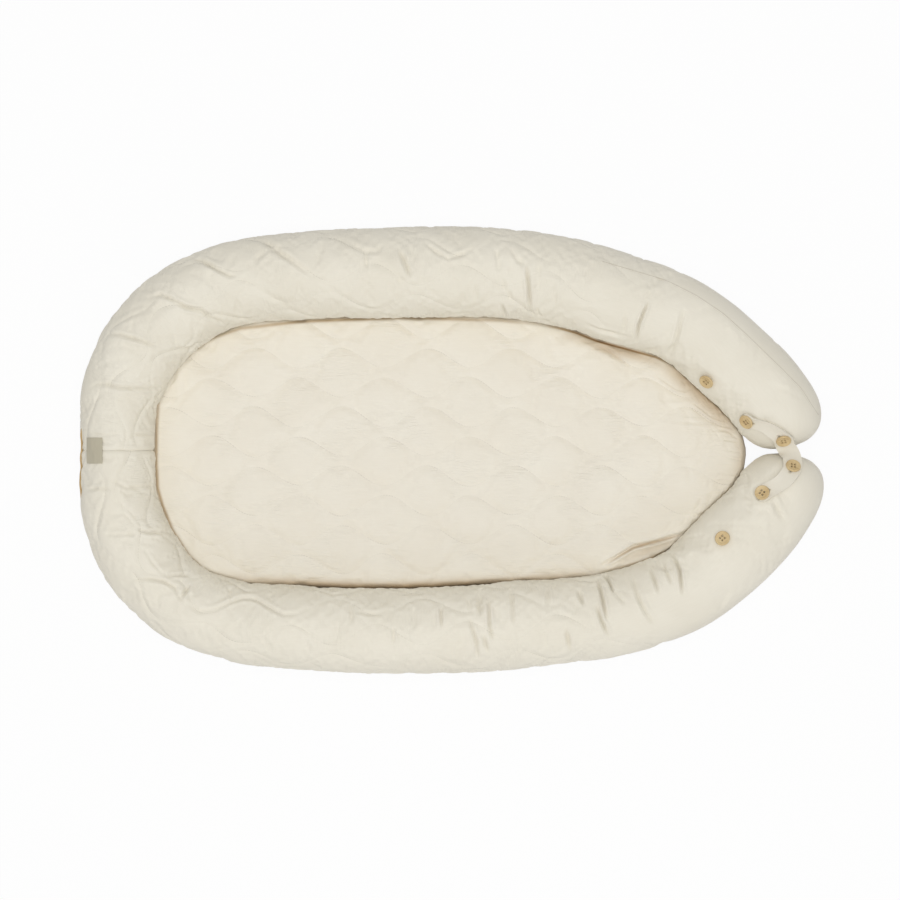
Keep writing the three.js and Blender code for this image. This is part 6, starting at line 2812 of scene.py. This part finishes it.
MATTRESS_FOLDS = (
    Fold(((540, 321), (560, 326), (572, 329), (587, 335), (605, 341), (622, 347), (640, 351), (656, 353),
          (672, 361)), 0.0060, 0.0034, 0.0),
    Fold(((664, 356), (682, 368), (700, 384), (718, 403), (732, 421), (741, 436)), 0.0042, 0.0120, 0.0),
    Fold(((590, 342), (602, 347), (614, 354), (626, 362)), 0.0016, 0.0030),
    Fold(((645, 365), (650, 359), (658, 354)), -0.0014, 0.0014, 0.3),
    Fold(((649, 374), (662, 382), (675, 391), (685, 393), (693, 389.5)), -0.0011, 0.0014, 0.6),
    Fold(((681, 382), (700, 381)), 0.0010, 0.0020),
    Fold(((687, 401), (698, 409), (709, 418), (721, 422), (730, 421.5)), -0.0012, 0.0015, 0.7),
    Fold(((708, 401), (717, 402.5)), 0.0010, 0.0015),
    Fold(((710, 406), (721, 407)), 0.0010, 0.0015),
    Fold(((718, 412.7), (730, 414)), 0.0012, 0.0015),
    Fold(((673, 421), (692, 422), (711, 424)), 0.0009, 0.0018),
    Fold(((718, 428.6), (728, 431), (736, 437)), 0.0014, 0.0015),
    Fold(((723, 439), (738, 441)), 0.0010, 0.0014),
    Fold(((726, 449.6), (740, 451)), 0.0010, 0.0014),
    Fold(((727, 457), (741, 459)), 0.0010, 0.0014),
    Fold(((716, 474), (736, 478)), 0.0008, 0.0016),
    Fold(((690, 515.5), (707, 514.5)), 0.0014, 0.0018),
    Fold(((600, 566), (620, 554), (633, 546), (655, 541.5), (672, 536), (690, 532)), 0.0034, 0.0018, 0.8),
)
# Painted shade on the mattress: tan bands and brown lines along the gaps under the bolster, and tan shade at
# the foot.
MATTRESS_PAINTED_SHADE = (
    Hem(((222, 576), (250, 581), (290, 583), (340, 586.5), (380, 588), (430, 586.5), (480, 584), (520, 581.5),
         (560, 577.5), (600, 572)), 0.0068, 1.05),
    Hem(((222, 577), (250, 582), (290, 584), (340, 588), (380, 589), (430, 588), (480, 585), (520, 582.5),
         (560, 578.5), (600, 573)), 0.0016, 1.3),
    Hem(((545, 325), (560, 328), (576, 332.5), (596, 340.5), (612, 345), (622, 347.5), (640, 352.5),
         (656, 357), (664, 361), (672, 366)), 0.0015, 2.0),
    Hem(((560, 332), (576, 336), (596, 344), (612, 349), (640, 356), (656, 361), (672, 368)), 0.0072, 0.66),
    Hem(((588, 341), (602, 347), (614, 354), (624, 361)), 0.0026, 0.6),
    Hem(((660, 358), (676, 368), (690, 380), (704, 393), (718, 407), (730, 420), (740, 434)), 0.0150, 0.85),
    Hem(((736, 428), (743, 440), (745, 452), (743, 466), (736, 480)), 0.0100, 0.5),
    Hem(((606, 564), (620, 555), (633, 547.5), (650, 542.5), (668, 538), (686, 533)), 0.0016, 0.9),
    Hem(((616, 563), (640, 553), (660, 546), (680, 540)), 0.0060, 0.4),
    Hem(((175, 368), (163, 384), (158, 400), (156, 430), (155.5, 460), (157, 487), (162, 505), (172, 530),
         (188, 555), (205, 571), (222, 577)), 0.0020, 1.0),
    Hem(((175, 368), (190, 352), (210, 338), (240, 328), (300, 321), (400, 317), (500, 320), (545, 325)),
        0.0022, 1.0),
    Hem(((600, 572), (640, 562), (680, 545), (700, 525), (720, 500), (735, 482)), 0.0020, 1.0),
)
UPPER_SEAM = ((602, 261), (646, 274), (666, 280), (696, 295), (723, 313), (746, 334), (776, 363),
              (801, 388), (812, 406), (819, 416))


def build_nest() -> None:
    """Builds the base, the covers with their fillings, the arm's seam, the label, and the head's zip with its
    piping.
    """
    Pad("base_quilt", bottom=0.0, seam=0.0012, top=0.003, roll=0.004, finish="base_cotton",
        slot="plain_cotton", nodes=("base_panel",), body="nest", fill=0.2, inset=0.002, is_base=True).build()
    sides = {
        Side.LEFT: BolsterCover(Side.LEFT, folds=UPPER_FOLDS),
        Side.RIGHT: BolsterCover(Side.RIGHT, folds=LOWER_FOLDS, side_slim=0.0023),
    }
    fillings = {
        Side.LEFT: ("left_arm_filling", "bolster_filling"),
        Side.RIGHT: ("right_arm_filling",),
    }
    covers = {}
    for side, cover in sides.items():
        covers[side] = cover.build()
        SideFilling(side, fillings[side]).build(cover)
    WeltSeam(Side.LEFT, UPPER_SEAM).build(covers[Side.LEFT], sides[Side.LEFT])
    Label().build(covers)
    HeadZip().build()
    HeadPiping().build(covers)


def build_mattress() -> None:
    """Builds the loose mattress: quilted top, foam core and plain underside."""
    Pad("mattress_quilt", bottom=0.0052, seam=0.013, top=0.0304, roll=0.009, finish="mattress_cotton",
        slot="quilted_cotton", nodes=("mattress_top_panel",), body="mattress", fill=0.7, inset=-0.0058,
        steps=504, columns=240, lower_share=4, head_reach=0.0078, foot_reach=0.003, quilt_depth=0.0021,
        filling=Filling(pressure=4.0, growth=0.008, cap=0.0018), folds=MATTRESS_FOLDS,
        hems=MATTRESS_PAINTED_SHADE).build()
    Pad("mattress_foam", bottom=0.0054, seam=0.011, top=0.017, roll=0.005, finish="mattress_foam",
        slot="foam", nodes=("mattress_core",), body="mattress", fill=1.0, inset=0.009, steps=120,
        columns=48).build()
    Pad("mattress_underside", bottom=0.00335, seam=0.0042, top=0.00485, roll=0.003, finish="plain_cotton",
        slot="plain_cotton", nodes=("mattress_bottom_panel",), body="mattress", fill=0.2, steps=160,
        columns=64).build()


def build_fastening() -> None:
    """Builds the six buttons with their threads, and the strap."""
    for side in Side:
        line = TubeLine(side)
        for number, (length, angle) in enumerate(button_places(side), start=1):
            nodes = (f"{side.label}_button_{number}", f"{side.label}_button_thread_{number}")
            Button(f"{side.label}_wood_button_{number}", line.seat(length, angle), side.arm, nodes).build()
    Strap().build()


def main() -> None:
    """Builds the lounger and the studio."""
    logging.basicConfig(level=logging.INFO, format="%(message)s")
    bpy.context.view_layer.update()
    build_finishes()
    Studio().build()
    build_nest()
    build_mattress()
    build_fastening()


if __name__ == "__main__":
    main()
